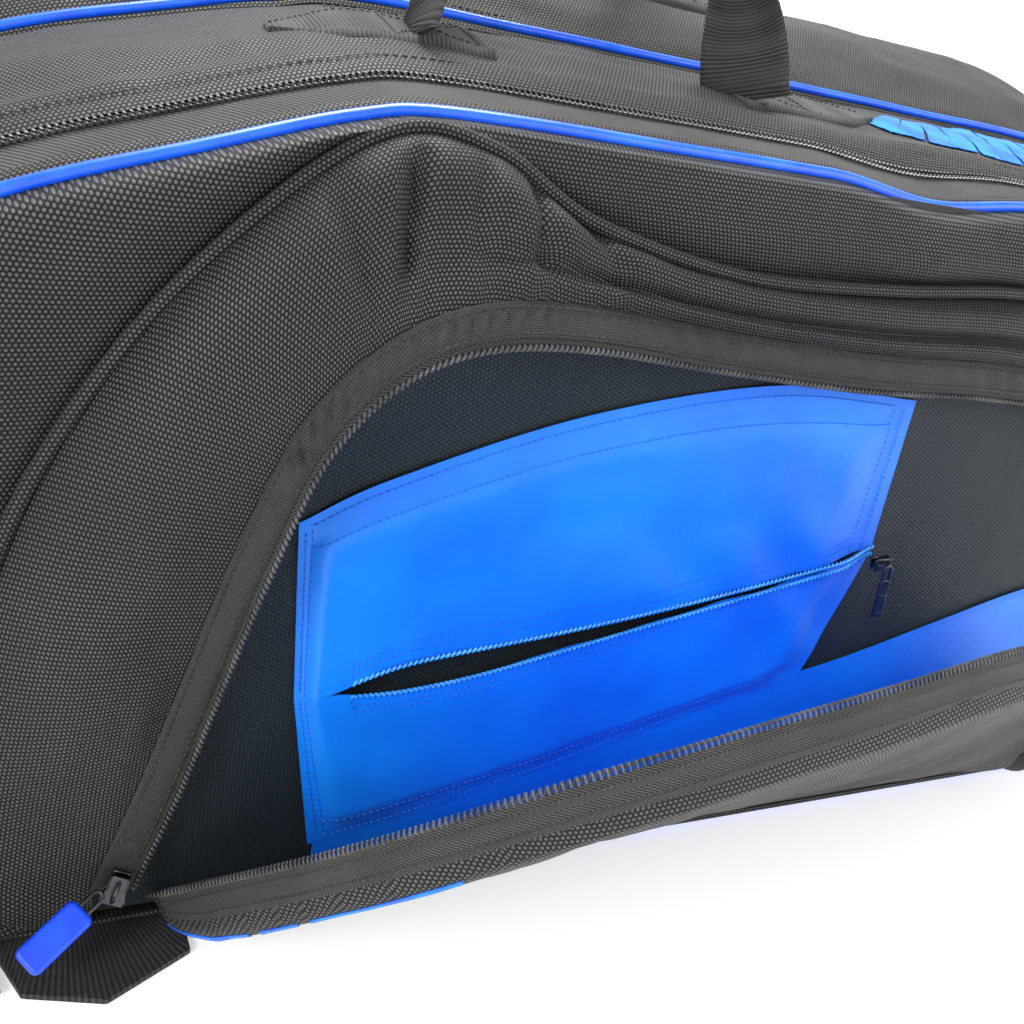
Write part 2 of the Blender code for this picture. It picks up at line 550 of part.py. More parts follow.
def handle_loop(name, y_base, lean, body):
    """Webbing loop that rises from its two sewn ends and leans towards the middle of the bag."""
    x0, x1 = HANDLE_X
    z0 = handle_base(y_base)
    top = max(z0) + HANDLE_TOP
    left = [(x0 + dx, z) for dx, z in zip(SHOULDER_X, (z0[0] + SHOULDER_Z[0], top - SHOULDER_Z[1],
                                                       top - SHOULDER_Z[2]))]
    right = [(x1 - dx, z) for dx, z in zip(SHOULDER_X, (z0[1] + SHOULDER_Z[0], top - SHOULDER_Z[1],
                                                        top - SHOULDER_Z[2]))]
    route = [(x0, z0[0])] + left + [(0.5 * (x0 + x1), top)] + right[::-1] + [(x1, z0[1])]
    curve = spline(route, LIP_STEPS)
    tangent = np.gradient(curve, axis=0)
    tangent /= np.linalg.norm(tangent, axis=1)[:, None]
    outward = np.column_stack([-tangent[:, 1], tangent[:, 0]])
    low = min(z0)
    outer, inner = [], []
    for p, n in zip(curve, outward):
        rise = (p[1] - low) / (top - low)
        width = HANDLE_W * (1.0 - HANDLE_TAPER * min(1.0, rise * TAPER_RATE))
        y_mid = y_base + lean * np.sin(0.5 * np.pi * min(1.0, rise))
        edge = [(p[0], y_mid - width / 2, p[1]), (p[0], y_mid + width / 2, p[1])]
        push = np.array([n[0], 0.0, n[1]]) * WEBBING_T
        outer.append([np.array(e) + push for e in edge])
        inner.append([np.array(e) for e in edge])
    slab(name, outer, inner, WEBBING, body)


def handle_patch(name, x_fold, direction, y_mid):
    """Flat sewn end of a handle, with a pointed tip."""
    xs = np.linspace(*PATCH_X, PATCH_ROWS)
    outer, inner = [], []
    for x in xs:
        tip = max(0.0, x - PATCH_TIP_X) / (PATCH_X[1] - PATCH_TIP_X)
        width = HANDLE_W * (1.0 - PATCH_NARROWING * tip)
        outer_row, inner_row = [], []
        for share in (-0.5, 0.0, 0.5):
            px = x_fold + direction * x
            py = y_mid + share * width
            ground = top_height(px, py)
            outer_row.append((px, py, ground + PATCH_HIGH))
            inner_row.append((px, py, ground + PATCH_LOW))
        outer.append(outer_row)
        inner.append(inner_row)
    slab(name, outer, inner, WEBBING)


def build_handles():
    for prefix, y in (("near", NEAR_HANDLE_Y), ("far", FAR_HANDLE_Y)):
        handle_patch(prefix + "_handle_patch_left", HANDLE_X[0], -1.0, y)
        handle_patch(prefix + "_handle_patch_right", HANDLE_X[1], 1.0, y)
        handle_loop(prefix + "_handle", y, HANDLE_LEAN[prefix], prefix + "_handle")
    build_wrap()


def wrap_loop(y_mid, half_w, beside, under, over):
    """Corners of the grip's outside or of its hole, as (y, height above the webbing)."""
    side = half_w + beside
    return [(y_mid - side, -under), (y_mid + side, -under), (y_mid + side, over), (y_mid - side, over)]


def build_wrap():
    """Padded grip round the top of the near handle, a sleeve that the webbing passes through."""
    centre_x = 0.5 * sum(HANDLE_X)
    z_top = max(handle_base(NEAR_HANDLE_Y)) + HANDLE_TOP
    y_top = NEAR_HANDLE_Y + HANDLE_LEAN["near"]
    half_w = HANDLE_W * (1.0 - HANDLE_TAPER) / 2
    loops = [wrap_loop(y_top, half_w, *WRAP_WALL), wrap_loop(y_top, half_w, *WRAP_HOLE)]
    xs = [centre_x - WRAP_HALF, centre_x, centre_x + WRAP_HALF]
    drop = [WRAP_DROP, 0.0, WRAP_DROP]
    verts, faces = [], []
    for x, d in zip(xs, drop):
        for loop in loops:
            verts += [(x, y, z_top + z - d) for y, z in loop]
    for s in range(2):
        a, b = s * 8, (s + 1) * 8
        for k in range(4):
            n = (k + 1) % 4
            faces.append((a + k, a + n, b + n, b + k))
            faces.append((a + 4 + n, a + 4 + k, b + 4 + k, b + 4 + n))
    for base, flip in ((0, False), (16, True)):
        for k in range(4):
            n = (k + 1) % 4
            quad = (base + k, base + 4 + k, base + 4 + n, base + n)
            faces.append(quad[::-1] if flip else quad)
    add_piece("handle_wrap", verts, faces, FOAM_FABRIC, "near_handle")


def build_straps():
    """Shoulder straps stowed under the base, with their webbing, ladder locks and sewn anchor tabs."""
    for prefix, side in (("near", -1.0), ("far", 1.0)):
        y0, y1 = CHANNEL_IN + STRAP_MARGIN, CHANNEL_OUT - STRAP_MARGIN
        middle = 0.5 * (y0 + y1)
        xs = np.linspace(*STRAP_X, STRAP_ROWS)
        outer, inner = [], []
        for x in xs:
            outer.append([(x, side * y, GAP + STRAP_T) for y in (y0 + STRAP_EDGE, middle, y1 - STRAP_EDGE)])
            inner.append([(x, side * y, GAP) for y in (y0, middle, y1)])
        slab(prefix + "_shoulder_strap", outer, inner, FOAM_FABRIC)
        x, y, z = LOCK_PLACE
        block(prefix + "_ladder_lock", (x, side * y, z), LOCK_SIZE, PLASTIC, "bag", LOCK_BEVEL)
        for label, outline in (("_strap_webbing", WEBBING_OUTLINE), ("_anchor_tab", TAB_OUTLINE)):
            prism(prefix + label, [(x, side * y) for x, y in outline], 2, GAP, GAP + WEBBING_T, WEBBING)


def build_far_pocket():
    """Closed accessory pocket on the far side panel."""
    wall = PANEL_Y + PANEL_T + GAP
    x0, x1 = FAR_POCKET_X
    z0, z1 = FAR_POCKET_Z

    def height(share):
        edge = min(share, 1.0 - share)
        return 1.0 - max(0.0, 1.0 - edge / FAR_POCKET_ROUND) ** FAR_POCKET_POWER
    grid = []
    for u in FAR_POCKET_U:
        row = []
        for v in FAR_POCKET_V:
            shrink = 1.0 - FAR_POCKET_SHRINK * v
            x = x0 * shrink + u * (x1 - x0) * shrink
            row.append((x, wall + FAR_POCKET_DEPTH * height(u) * height(v), z0 + v * (z1 - z0)))
        grid.append(row)
    sheet("far_pocket_shell", grid, -FABRIC_T, FABRIC, "far_lid")
    zip_y = wall + FAR_POCKET_DEPTH + FABRIC_T + GAP + FAR_ZIP_R
    zip_path = [(x, zip_y, FAR_POCKET_SLIDER[2]) for x in np.linspace(-FAR_ZIP_HALF, FAR_ZIP_HALF, 5)]
    tube("far_pocket_zip", zip_path, FAR_ZIP_R, COIL_SIDES, COIL_DARK, "far_lid")
    block("far_pocket_slider", FAR_POCKET_SLIDER, FAR_SLIDER_SIZE, METAL, "far_pocket_slider", SLIDER_BEVEL)
    x, y, z = PIVOTS["far_pocket_pull"]
    block("far_pocket_pull", (x, y, z - FAR_PULL_DROP), FAR_PULL_SIZE, RUBBER_BLUE, "far_pocket_pull",
          PULL_BEVEL)


def build_end_handle():
    """Webbing grab loop on the tail end."""
    x_end = rim(0.0)[:, 0].max() + END_LOOP_CLEAR
    curve = spline([(x_end + out, z) for out, z in END_LOOP], LIP_STEPS)
    tangent = np.gradient(curve, axis=0)
    tangent /= np.linalg.norm(tangent, axis=1)[:, None]
    outer, inner = [], []
    for p, t in zip(curve, tangent):
        push = np.array([t[1], 0.0, -t[0]]) * WEBBING_T
        edge = [np.array((p[0], y, p[1])) for y in (-END_LOOP_HALF_W, END_LOOP_HALF_W)]
        outer.append([e + push for e in edge])
        inner.append(edge)
    slab("end_handle", outer, inner, WEBBING)


# ---- bodies and their pivots ----------------------------------------------------------------------
POCKET_SLIDER = (-0.2140, -0.1335, 0.0330)
POCKET_PULL_HINGE = (-0.2215, -0.1385, 0.0345)
POCKET_PULL_TIP = (-0.2490, -0.1520, 0.0190)
FLAP_FOLD = (0.05, -PANEL_Y - 0.0060, FOLD_Z)
INNER_SLIDER = (0.1275, -0.1337, 0.1575)
INNER_PULL_HINGE = (0.1275, -0.1375, 0.1560)
FAR_POCKET_SLIDER = (0.150, 0.1685, 0.2320)
FAR_PULL_HINGE = (0.150, 0.1725, 0.2310)


def make_pivots():
    near_z, far_z = slider_height(-ZIP_Y), slider_height(ZIP_Y)
    handle_z = {y: min(handle_base(y)) for y in (NEAR_HANDLE_Y, FAR_HANDLE_Y)}
    return {
        "bag": (0.0, 0.0, 0.0),
        "near_lid": (0.0, -PANEL_Y, SEAM_Z),
        "far_lid": (0.0, PANEL_Y, SEAM_Z),
        "pocket_flap": FLAP_FOLD,
        "near_slider": (SLIDER_X, -ZIP_Y, near_z),
        "far_slider": (SLIDER_X, ZIP_Y, far_z),
        "near_pull": (PULL_HINGE_X, -ZIP_Y, near_z),
        "far_pull": (PULL_HINGE_X, ZIP_Y, far_z),
        "pocket_pull": POCKET_PULL_HINGE,
        "inner_slider": INNER_SLIDER,
        "inner_pull": INNER_PULL_HINGE,
        "near_handle": (0.5 * sum(HANDLE_X), NEAR_HANDLE_Y - HANDLE_W / 2, handle_z[NEAR_HANDLE_Y]),
        "far_handle": (0.5 * sum(HANDLE_X), FAR_HANDLE_Y + HANDLE_W / 2, handle_z[FAR_HANDLE_Y]),
        "far_pocket_slider": FAR_POCKET_SLIDER,
        "far_pocket_pull": FAR_PULL_HINGE,
    }


def make_bodies():
    """One empty at each pivot, which the pieces of that body are parented to."""
    bodies = {}
    for name, place in PIVOTS.items():
        empty = bpy.data.objects.new(name + "_pivot", None)
        empty.location = place
        bpy.context.scene.collection.objects.link(empty)
        bodies[name] = empty
    return bodies


clear_scene()
FABRIC = material("bag_fabric", (0.030, 0.031, 0.029), 0.62)
LINING = material("mesh_lining", (0.018, 0.023, 0.027), 0.70)
FOAM_LINING = material("divider_lining", (0.045, 0.047, 0.050), 0.75)
FOAM_FABRIC = material("padded_fabric", (0.022, 0.022, 0.022), 0.75)
WEBBING = material("webbing", (0.018, 0.018, 0.018), 0.70)
TAPE_BLACK = material("zip_tape", (0.020, 0.020, 0.021), 0.65)
COIL_DARK = material("zip_coil", (0.050, 0.052, 0.055), 0.35)
COIL_BLUE = material("blue_zip_coil", (0.010, 0.140, 0.620), 0.35)
NYLON_BLUE = material("blue_nylon", (0.008, 0.130, 0.720), 0.45)
VINYL_BLUE = material("blue_vinyl", (0.004, 0.060, 0.720), 0.22)
RUBBER_BLUE = material("blue_rubber", (0.010, 0.070, 0.800), 0.45)
METAL = material("slider_metal", (0.110, 0.110, 0.110), 0.32, 1.0)
PLASTIC = material("black_plastic", (0.015, 0.015, 0.015), 0.40)
PIVOTS = make_pivots()
BODIES = make_bodies()
build_shell()
build_lids()
build_pocket()
build_inner_pocket()
build_sliders()
build_handles()
build_straps()
build_far_pocket()
build_end_handle()
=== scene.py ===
"""Looks of the racket tournament bag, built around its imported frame.

Every soft part is a sheet lofted over the bag's own surface, with padding, seams, creases and stitching as
geometry, and with woven, coated and moulded finishes made from nodes. Lengths are in metres.
"""

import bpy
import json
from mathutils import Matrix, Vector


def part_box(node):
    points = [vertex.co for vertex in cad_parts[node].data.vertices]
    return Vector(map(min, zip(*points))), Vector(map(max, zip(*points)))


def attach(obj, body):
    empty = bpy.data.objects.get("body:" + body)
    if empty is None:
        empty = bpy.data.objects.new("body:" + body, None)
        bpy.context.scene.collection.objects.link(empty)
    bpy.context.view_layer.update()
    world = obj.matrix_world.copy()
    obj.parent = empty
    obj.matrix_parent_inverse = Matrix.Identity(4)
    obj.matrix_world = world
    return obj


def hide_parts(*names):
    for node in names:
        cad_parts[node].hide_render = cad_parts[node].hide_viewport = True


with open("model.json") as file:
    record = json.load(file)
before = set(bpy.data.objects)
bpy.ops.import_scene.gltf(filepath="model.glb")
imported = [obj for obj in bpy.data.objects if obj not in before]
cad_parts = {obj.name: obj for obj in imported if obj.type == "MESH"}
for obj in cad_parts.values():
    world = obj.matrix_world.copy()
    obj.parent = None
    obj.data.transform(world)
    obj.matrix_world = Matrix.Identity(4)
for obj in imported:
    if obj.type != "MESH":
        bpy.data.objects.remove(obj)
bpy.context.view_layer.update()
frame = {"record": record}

import copy
import json

import bmesh
import bpy
import numpy as np
from mathutils import Matrix, Vector

FRONT, REAR = np.array([0.0, -1.0, 0.0]), np.array([0.0, 1.0, 0.0])
UP, DOWN = np.array([0.0, 0.0, 1.0]), np.array([0.0, 0.0, -1.0])
FLAP_OUT = np.array([0.0, -1.0, -0.3])       # out of the hanging pocket wall
SIDES = (("near", -1), ("far", 1))           # each compartment, and the sign of its Y

# ---- the bag's surface, as the frame holds it -----------------------------------------------------
PANEL_Y = 0.115            # seam plane of each side panel
SEAM_Z = 0.004             # bottom seams
ZIP_Y = 0.092              # middle of each main zip
END_BULGE = 0.012
COIL_PITCH = 0.0023        # tooth pitch of every zip
CLOTH_T = 0.0018           # thickness of the outer cloth with its foam
LINING_T = 0.0005
TAPE_T = 0.0008
PIPING_R = 0.0024
MID_PIPING_R = 0.0020
FINE_THREAD_R, THREAD_R, BOLD_THREAD_R = 0.00024, 0.00030, 0.00034
WEBBING_T = 0.0024
WEBBING_W = 0.038          # carry handles
WEBBING_COLS = 13
RIB_PITCH = 0.0019
RIB_HEIGHT = 0.00028
RIB_STEP = 0.00055         # spacing of a webbing's points, fine enough to show its ribs
RIB_SHARP = 80.0           # degrees

OUTLINE = [
    (-0.344, 0.004), (-0.366, 0.020), (-0.375, 0.070), (-0.375, 0.140), (-0.362, 0.203), (-0.322, 0.252),
    (-0.254, 0.284), (-0.198, 0.304), (-0.150, 0.320), (-0.118, 0.3252), (-0.040, 0.3258), (0.040, 0.3258),
    (0.120, 0.3255), (0.200, 0.3252), (0.280, 0.3245), (0.338, 0.3205), (0.380, 0.298), (0.407, 0.250),
    (0.418, 0.185), (0.420, 0.110), (0.416, 0.050), (0.406, 0.018), (0.388, 0.004)]
LIFT = [(-0.115, 0.0), (-0.092, 0.009), (-0.045, 0.021), (0.0, 0.030), (0.035, 0.052), (0.070, 0.066),
        (0.092, 0.061), (0.115, 0.050)]
UPPER_Z = 0.2              # an outline above this height belongs to the bag's top
OUTLINE_H = 0.322          # of the outline above its seam, before LIFT raises its top
CROWN_MID = 0.030
CROWN_HALF = 0.420
NOSE_LIFT = 0.35
NOSE_X = (-0.150, -0.250)

POCKET_SEAM = [
    (-0.264, 0.030), (-0.266, 0.100), (-0.256, 0.170), (-0.226, 0.233), (-0.186, 0.283), (-0.142, 0.3175),
    (-0.104, 0.3165), (-0.062, 0.297), (0.010, 0.284), (0.090, 0.285), (0.170, 0.289), (0.245, 0.276),
    (0.300, 0.240), (0.328, 0.180), (0.334, 0.100), (0.330, 0.030)]
UPPER_LIP = [
    (-0.2065, -0.1255, 0.024), (-0.194, -0.130, 0.066), (-0.184, -0.137, 0.112), (-0.172, -0.149, 0.172),
    (-0.159, -0.1545, 0.216), (-0.137, -0.155, 0.243), (-0.108, -0.1535, 0.2555), (-0.064, -0.147, 0.256),
    (0.000, -0.140, 0.249), (0.080, -0.137, 0.243), (0.160, -0.135, 0.2415), (0.222, -0.134, 0.234),
    (0.268, -0.132, 0.206), (0.292, -0.130, 0.160), (0.301, -0.1275, 0.090), (0.3065, -0.1255, 0.024)]
LOWER_LIP = [
    (-0.2010, -0.1290, 0.022), (-0.187, -0.151, 0.044), (-0.165, -0.191, 0.084), (-0.144, -0.222, 0.117),
    (-0.121, -0.242, 0.141), (-0.098, -0.253, 0.156), (-0.065, -0.2565, 0.165), (-0.028, -0.255, 0.170),
    (0.019, -0.251, 0.174), (0.090, -0.240, 0.176), (0.150, -0.224, 0.165), (0.205, -0.198, 0.137),
    (0.250, -0.168, 0.096), (0.285, -0.142, 0.050), (0.3010, -0.1290, 0.022)]
INNER_TOP = [(-0.1560, 0.1790), (-0.1217, 0.1964), (-0.0430, 0.2236), (0.0463, 0.2394), (0.1268, 0.2354)]
INNER_ZIP = [(-0.1500, 0.1030), (-0.1262, 0.1105), (-0.0621, 0.1205), (0.0278, 0.1380), (0.1290, 0.1600)]
INNER_BOTTOM = [(-0.1365, 0.030), (-0.090, 0.038), (-0.020, 0.055), (0.050, 0.075), (0.108, 0.090)]
LINING_TURN_UP = [
    (-0.134, 0.033), (-0.090, 0.043), (-0.020, 0.060), (0.050, 0.079), (0.100, 0.0895), (0.140, 0.0985),
    (0.196, 0.1148), (0.250, 0.130), (0.300, 0.138)]


# ---- curves and noise -----------------------------------------------------------------------------
def spline(points, per_segment):
    """Catmull-Rom curve through the points, one row for each sample."""
    p = np.array(points, float)
    ends = np.vstack([2 * p[0] - p[1], p, 2 * p[-1] - p[-2]])
    rows = []
    for i in range(len(p) - 1):
        a, b, c, d = ends[i:i + 4]
        for k in range(per_segment):
            t = k / per_segment
            rows.append(0.5 * (2 * b + (c - a) * t + (2 * a - 5 * b + 4 * c - d) * t * t
                               + (3 * b - a - 3 * c + d) * t ** 3))
    rows.append(p[-1])
    return np.array(rows)


def lengths(path):
    """Distance along a path up to each of its points."""
    steps = np.linalg.norm(np.diff(path, axis=0), axis=1)
    return np.concatenate([[0.0], np.cumsum(steps)])


def sample(values, run, marks):
    """Rows of values read off at the marks, where run holds each row's own mark."""
    values = np.asarray(values, float)
    return np.column_stack([np.interp(marks, run, values[:, k]) for k in range(values.shape[1])])


def resample_to(path, count):
    """The same curve as a number of evenly spaced points."""
    path = np.array(path, float)
    run = lengths(path)
    return sample(path, run, np.linspace(0.0, run[-1], count))


def resample(path, step):
    """The same curve with its points an even step apart."""
    return resample_to(path, max(2, int(round(lengths(path)[-1] / step)) + 1))


def points_at(x, y, z):
    """Rows of points; a coordinate given as one number is the same for all of them."""
    return np.column_stack(np.broadcast_arrays(x, y, z))


def unit(vectors):
    """The same vectors, each one unit long."""
    vectors = np.array(vectors, float)
    size = np.linalg.norm(vectors, axis=-1, keepdims=True)
    return vectors / np.maximum(size, 1e-12)


def tangents(path):
    """Direction of a path at each of its points."""
    return unit(np.gradient(path, axis=0))


def smooth_step(value, low, high):
    """0 up to low and 1 from high on, with a smooth rise between."""
    t = np.clip((np.asarray(value, float) - low) / (high - low), 0.0, 1.0)
    return t * t * (3.0 - 2.0 * t)


def shares(count):
    """Even steps from 0 to 1."""
    return np.linspace(0.0, 1.0, count)


def eased(count):
    """Steps from 0 to 1 that lie closest together at both ends."""
    return 0.5 - 0.5 * np.cos(np.pi * shares(count))


def hump(share):
    """0 at the shares 0 and 1, and 1 halfway, as half a sine wave."""
    return np.sin(np.pi * share)


def off_ends(share, reach):
    """0 at the shares 0 and 1, rising smoothly to 1 within reach of them."""
    return smooth_step(np.minimum(share, 1.0 - share), 0.0, reach)


def bump(value, middle, half):
    """1 at the middle, falling smoothly to 0 at a half width away."""
    return 1.0 - smooth_step(np.abs(np.asarray(value, float) - middle), 0.0, half)


def noise_at(points, frequency, seed):
    """Smooth value noise from -1 to 1 at each point, the same every run."""
    p = np.array(points, float) * frequency + seed * 7.31
    cell = np.floor(p)
    f = p - cell
    f = f * f * (3.0 - 2.0 * f)
    total = np.zeros(p.shape[:-1])
    for corner in range(8):
        offset = np.array([corner & 1, (corner >> 1) & 1, (corner >> 2) & 1], float)
        key = (cell + offset) @ np.array([127.1, 311.7, 74.7]) + seed * 19.19
        value = np.modf(np.abs(np.sin(key) * 43758.5453))[0]
        weight = np.prod(np.where(offset > 0.5, f, 1.0 - f), axis=-1)
        total += weight * (2.0 * value - 1.0)
    return total


def folds(points, frequency, seed):
    """Two octaves of soft fabric waves."""
    return noise_at(points, frequency, seed) + 0.45 * noise_at(points, np.array(frequency) * 2.3, seed + 5)


# ---- meshes ---------------------------------------------------------------------------------------
def finish_piece(obj, body, finish, replaced):
    """Give an object its finish and body, and hide the nodes that it stands for."""
    obj.data.materials.append(finish.mat)
    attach(obj, body)
    if replaced:
        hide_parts(*replaced)
    return obj


def mesh_piece(name, verts, faces, body, finish, replaced, uvs, sharp=50.0):
    """One mesh object; uvs holds a cloth coordinate in metres for each vertex."""
    mesh = bpy.data.meshes.new(name)
    mesh.from_pydata([tuple(v) for v in verts], [], [tuple(f) for f in faces])
    layer = mesh.uv_layers.new(name="Cloth")
    index = np.zeros(len(mesh.loops), np.int32)
    mesh.loops.foreach_get("vertex_index", index)
    layer.data.foreach_set("uv", np.array(uvs, np.float32)[index].ravel())
    bm = bmesh.new()
    bm.from_mesh(mesh)
    bmesh.ops.recalc_face_normals(bm, faces=bm.faces)
    bm.to_mesh(mesh)
    bm.free()
    mesh.shade_smooth()
    mesh.set_sharp_from_angle(angle=np.radians(sharp))
    obj = bpy.data.objects.new(name, mesh)
    bpy.context.scene.collection.objects.link(obj)
    return finish_piece(obj, body, finish, replaced)


def band_grid(start, end, cols):
    """Grid of straight rows from each point of one curve to the same point of another, and its shares."""
    share = shares(cols)
    return start[:, None] * (1.0 - share)[None, :, None] + end[:, None] * share[None, :, None], share


def grid_normals(grid):
    """Unit normal at each point of a grid."""
    return unit(np.cross(np.gradient(grid, axis=0), np.gradient(grid, axis=1)))


def cloth_uvs(grid):
    """Cloth coordinates of a grid: distance along its rows' run, and distance across it."""
    middle = grid.shape[1] // 2
    along = lengths(grid[:, middle])[:, None] * np.ones(grid.shape[1])[None, :]
    across = np.array([lengths(row) - lengths(row)[middle] for row in grid])
    return np.stack([along, across], axis=2)


def declare_sheet(grid):
    """Work out a sewn panel's size and area laid out flat, taken from its own surface; the results are not
    kept.
    """
    across = max(lengths(row)[-1] for row in grid)
    along = max(lengths(grid[:, j])[-1] for j in range(grid.shape[1]))
    first, second = np.diff(grid, axis=0)[:, :-1], np.diff(grid, axis=1)[:-1]
    area = float(np.linalg.norm(np.cross(first, second), axis=2).sum())
    area = float(np.clip(area, 0.31 * across * along, across * along))


def sheet_mesh(name, grid, thickness, body, finish, replaced=(), ring=False, both=None, sharp=50.0,
               held=None, planar=False, facing=None):
    """Closed cloth of a thickness behind a grid of points, or between the grid and the grid in both.
    """
    grid = np.array(grid, float)
    if facing is not None and np.sum(grid_normals(grid) * facing) < 0.0:
        grid = grid[:, ::-1]
        both = None if both is None else both[:, ::-1]
    back = grid - grid_normals(grid) * thickness if both is None else np.array(both, float)
    rows, cols = grid.shape[:2]
    count = rows * cols
    verts = np.vstack([grid.reshape(-1, 3), back.reshape(-1, 3)])
    uv = grid[:, :, [0, 2]].reshape(-1, 2) if planar else cloth_uvs(grid).reshape(-1, 2)
    faces = []
    last = rows if ring else rows - 1
    for i in range(last):
        a0, b0 = i * cols, ((i + 1) % rows) * cols
        for j in range(cols - 1):
            quad = (a0 + j, a0 + j + 1, b0 + j + 1, b0 + j)
            faces.append(quad)
            faces.append(tuple(count + v for v in reversed(quad)))
        for edge in (0, cols - 1):
            faces.append((a0 + edge, b0 + edge, b0 + edge + count, a0 + edge + count))
    if not ring:
        for j in range(cols - 1):
            faces.append((j, j + 1, j + 1 + count, j + count))
            top = (rows - 1) * cols + j
            faces.append((top, top + 1, top + 1 + count, top + count))
    obj = mesh_piece(name, verts, faces, body, finish, replaced, np.vstack([uv, uv]), sharp=sharp)
    if held:
        declare_sheet(grid)
    return obj


def tube_mesh(name, path, radius, sides, body, finish, replaced=(), closed=False, up=(0.1, 0.2, 0.97)):
    """Round cord along a path, with capped ends unless it is closed."""
    path = np.array(path, float)
    count = len(path)
    if closed:
        along = unit(np.roll(path, -1, axis=0) - np.roll(path, 1, axis=0))
    else:
        along = tangents(path)
    side = unit(np.cross(along, np.array(up)))
    top = np.cross(side, along)
    radius = np.broadcast_to(np.asarray(radius, float), (count,))
    angles = 2 * np.pi * np.arange(sides) / sides
    ring = np.cos(angles)[None, :, None] * side[:, None] + np.sin(angles)[None, :, None] * top[:, None]
    verts = (path[:, None] + ring * radius[:, None, None]).reshape(-1, 3)
    run = lengths(path)
    uv = np.stack(np.meshgrid(run, angles * float(radius.mean()), indexing="ij"), axis=2).reshape(-1, 2)
    faces = []
    for k in range(count if closed else count - 1):
        n = (k + 1) % count
        for s in range(sides):
            t = (s + 1) % sides
            faces.append((k * sides + s, k * sides + t, n * sides + t, n * sides + s))
    if not closed:
        faces.append(tuple(range(sides)))
        faces.append(tuple(range((count - 1) * sides, count * sides)))
    return mesh_piece(name, verts, faces, body, finish, replaced, uv)


def coil_mesh(name, path, across, outward, body, finish, replaced, half_width, half_height, wire,
              turn_steps, sides=4, phase=0.0):
    """Zip coil: one wire wound along a path into teeth, flattened across and outward.

    Here and below, a direction is one vector for the whole path or one for each of its points.
    """
    step = COIL_PITCH / turn_steps
    run = lengths(path)
    marks = np.arange(0.0, run[-1], step)
    middle, side, top = (sample(np.broadcast_to(values, path.shape), run, marks)
                         for values in (path, across, outward))
    side, top = unit(side), unit(top)
    angle = 2 * np.pi * marks / COIL_PITCH + phase
    wound = (middle + side * (half_width - wire) * np.cos(angle)[:, None]
             + top * (half_height - wire) * np.sin(angle)[:, None])
    return tube_mesh(name, wound, wire, sides, body, finish, replaced)


def stitch_mesh(name, path, body, finish, lift=UP, pitch=0.0034, length=0.0026, radius=THREAD_R):
    """A row of thread stitches along a path, each a short spindle that dips at its ends."""
    path = np.array(path, float)
    run = lengths(path)
    starts = np.arange(pitch * 0.5, run[-1] - pitch, pitch)
    verts, faces = [], []
    first, last = sample(path, run, starts), sample(path, run, starts + length)
    normal = unit(sample(np.broadcast_to(lift, path.shape), run, starts))
    along = unit(last - first)
    side = unit(np.cross(along, normal))
    middle = 0.5 * (first + last) + normal * radius * 0.7
    for k in range(len(starts)):
        base = len(verts)
        verts += [first[k] - normal[k] * radius, last[k] - normal[k] * radius]
        for share in (0.25, 0.75):
            centre = first[k] + (last[k] - first[k]) * share + (middle[k] - 0.5 * (first[k] + last[k]))
            verts += [centre + side[k] * radius, centre + normal[k] * radius,
                      centre - side[k] * radius, centre - normal[k] * radius]
        for s in range(4):
            t = (s + 1) % 4
            a, b, c, d = base + 2 + s, base + 2 + t, base + 6 + t, base + 6 + s
            faces += [(base, a, b), (a, d, c, b), (base + 1, c, d)]
    return mesh_piece(name, verts, faces, body, finish, (), np.zeros((len(verts), 2)))


def webbing_mesh(name, path, width_dir, width, body, replaced, thickness=WEBBING_T, curl=None):
    """Ribbed webbing along a path, with width_dir its width's direction and curl the angle of its cup."""
    run = lengths(path)
    marks = np.linspace(0.0, run[-1], int(run[-1] / RIB_STEP) + 1)
    middle = sample(path, run, marks)
    along = tangents(middle)
    across = sample(np.broadcast_to(width_dir, path.shape), run, marks)
    across = unit(across - along * np.sum(across * along, axis=1, keepdims=True))
    outward = np.cross(along, across)
    angle = np.zeros(len(marks)) if curl is None else np.interp(marks, run, curl)
    share = np.linspace(-0.5, 0.5, WEBBING_COLS)
    cup = np.where(np.abs(angle) < 0.05, 0.05, angle)[:, None]
    reach = width / cup
    shift = reach * np.sin(share[None, :] * cup)
    rise = reach * (1.0 - np.cos(share[None, :] * cup))
    grid = middle[:, None] + across[:, None] * shift[:, :, None] - outward[:, None] * rise[:, :, None]
    normal = grid_normals(grid)
    wave = np.cos(2 * np.pi * marks / RIB_PITCH)[:, None] * RIB_HEIGHT
    selvedge = 1.0 - 0.75 * smooth_step(np.abs(share), 0.44, 0.5)[None, :]
    half = (0.5 * thickness - RIB_HEIGHT + wave) * selvedge
    front = grid + normal * half[:, :, None]
    behind = grid - normal * half[:, :, None]
    return sheet_mesh(name, front, 0.0, body, WEBBING, replaced, both=behind, sharp=RIB_SHARP)


# ---- the surface itself ---------------------------------------------------------------------------
LIFT_CURVE = spline(LIFT, 10)
DIP_X, DIP_HALF, DIP_DEPTH = 0.108, 0.062, 0.0055


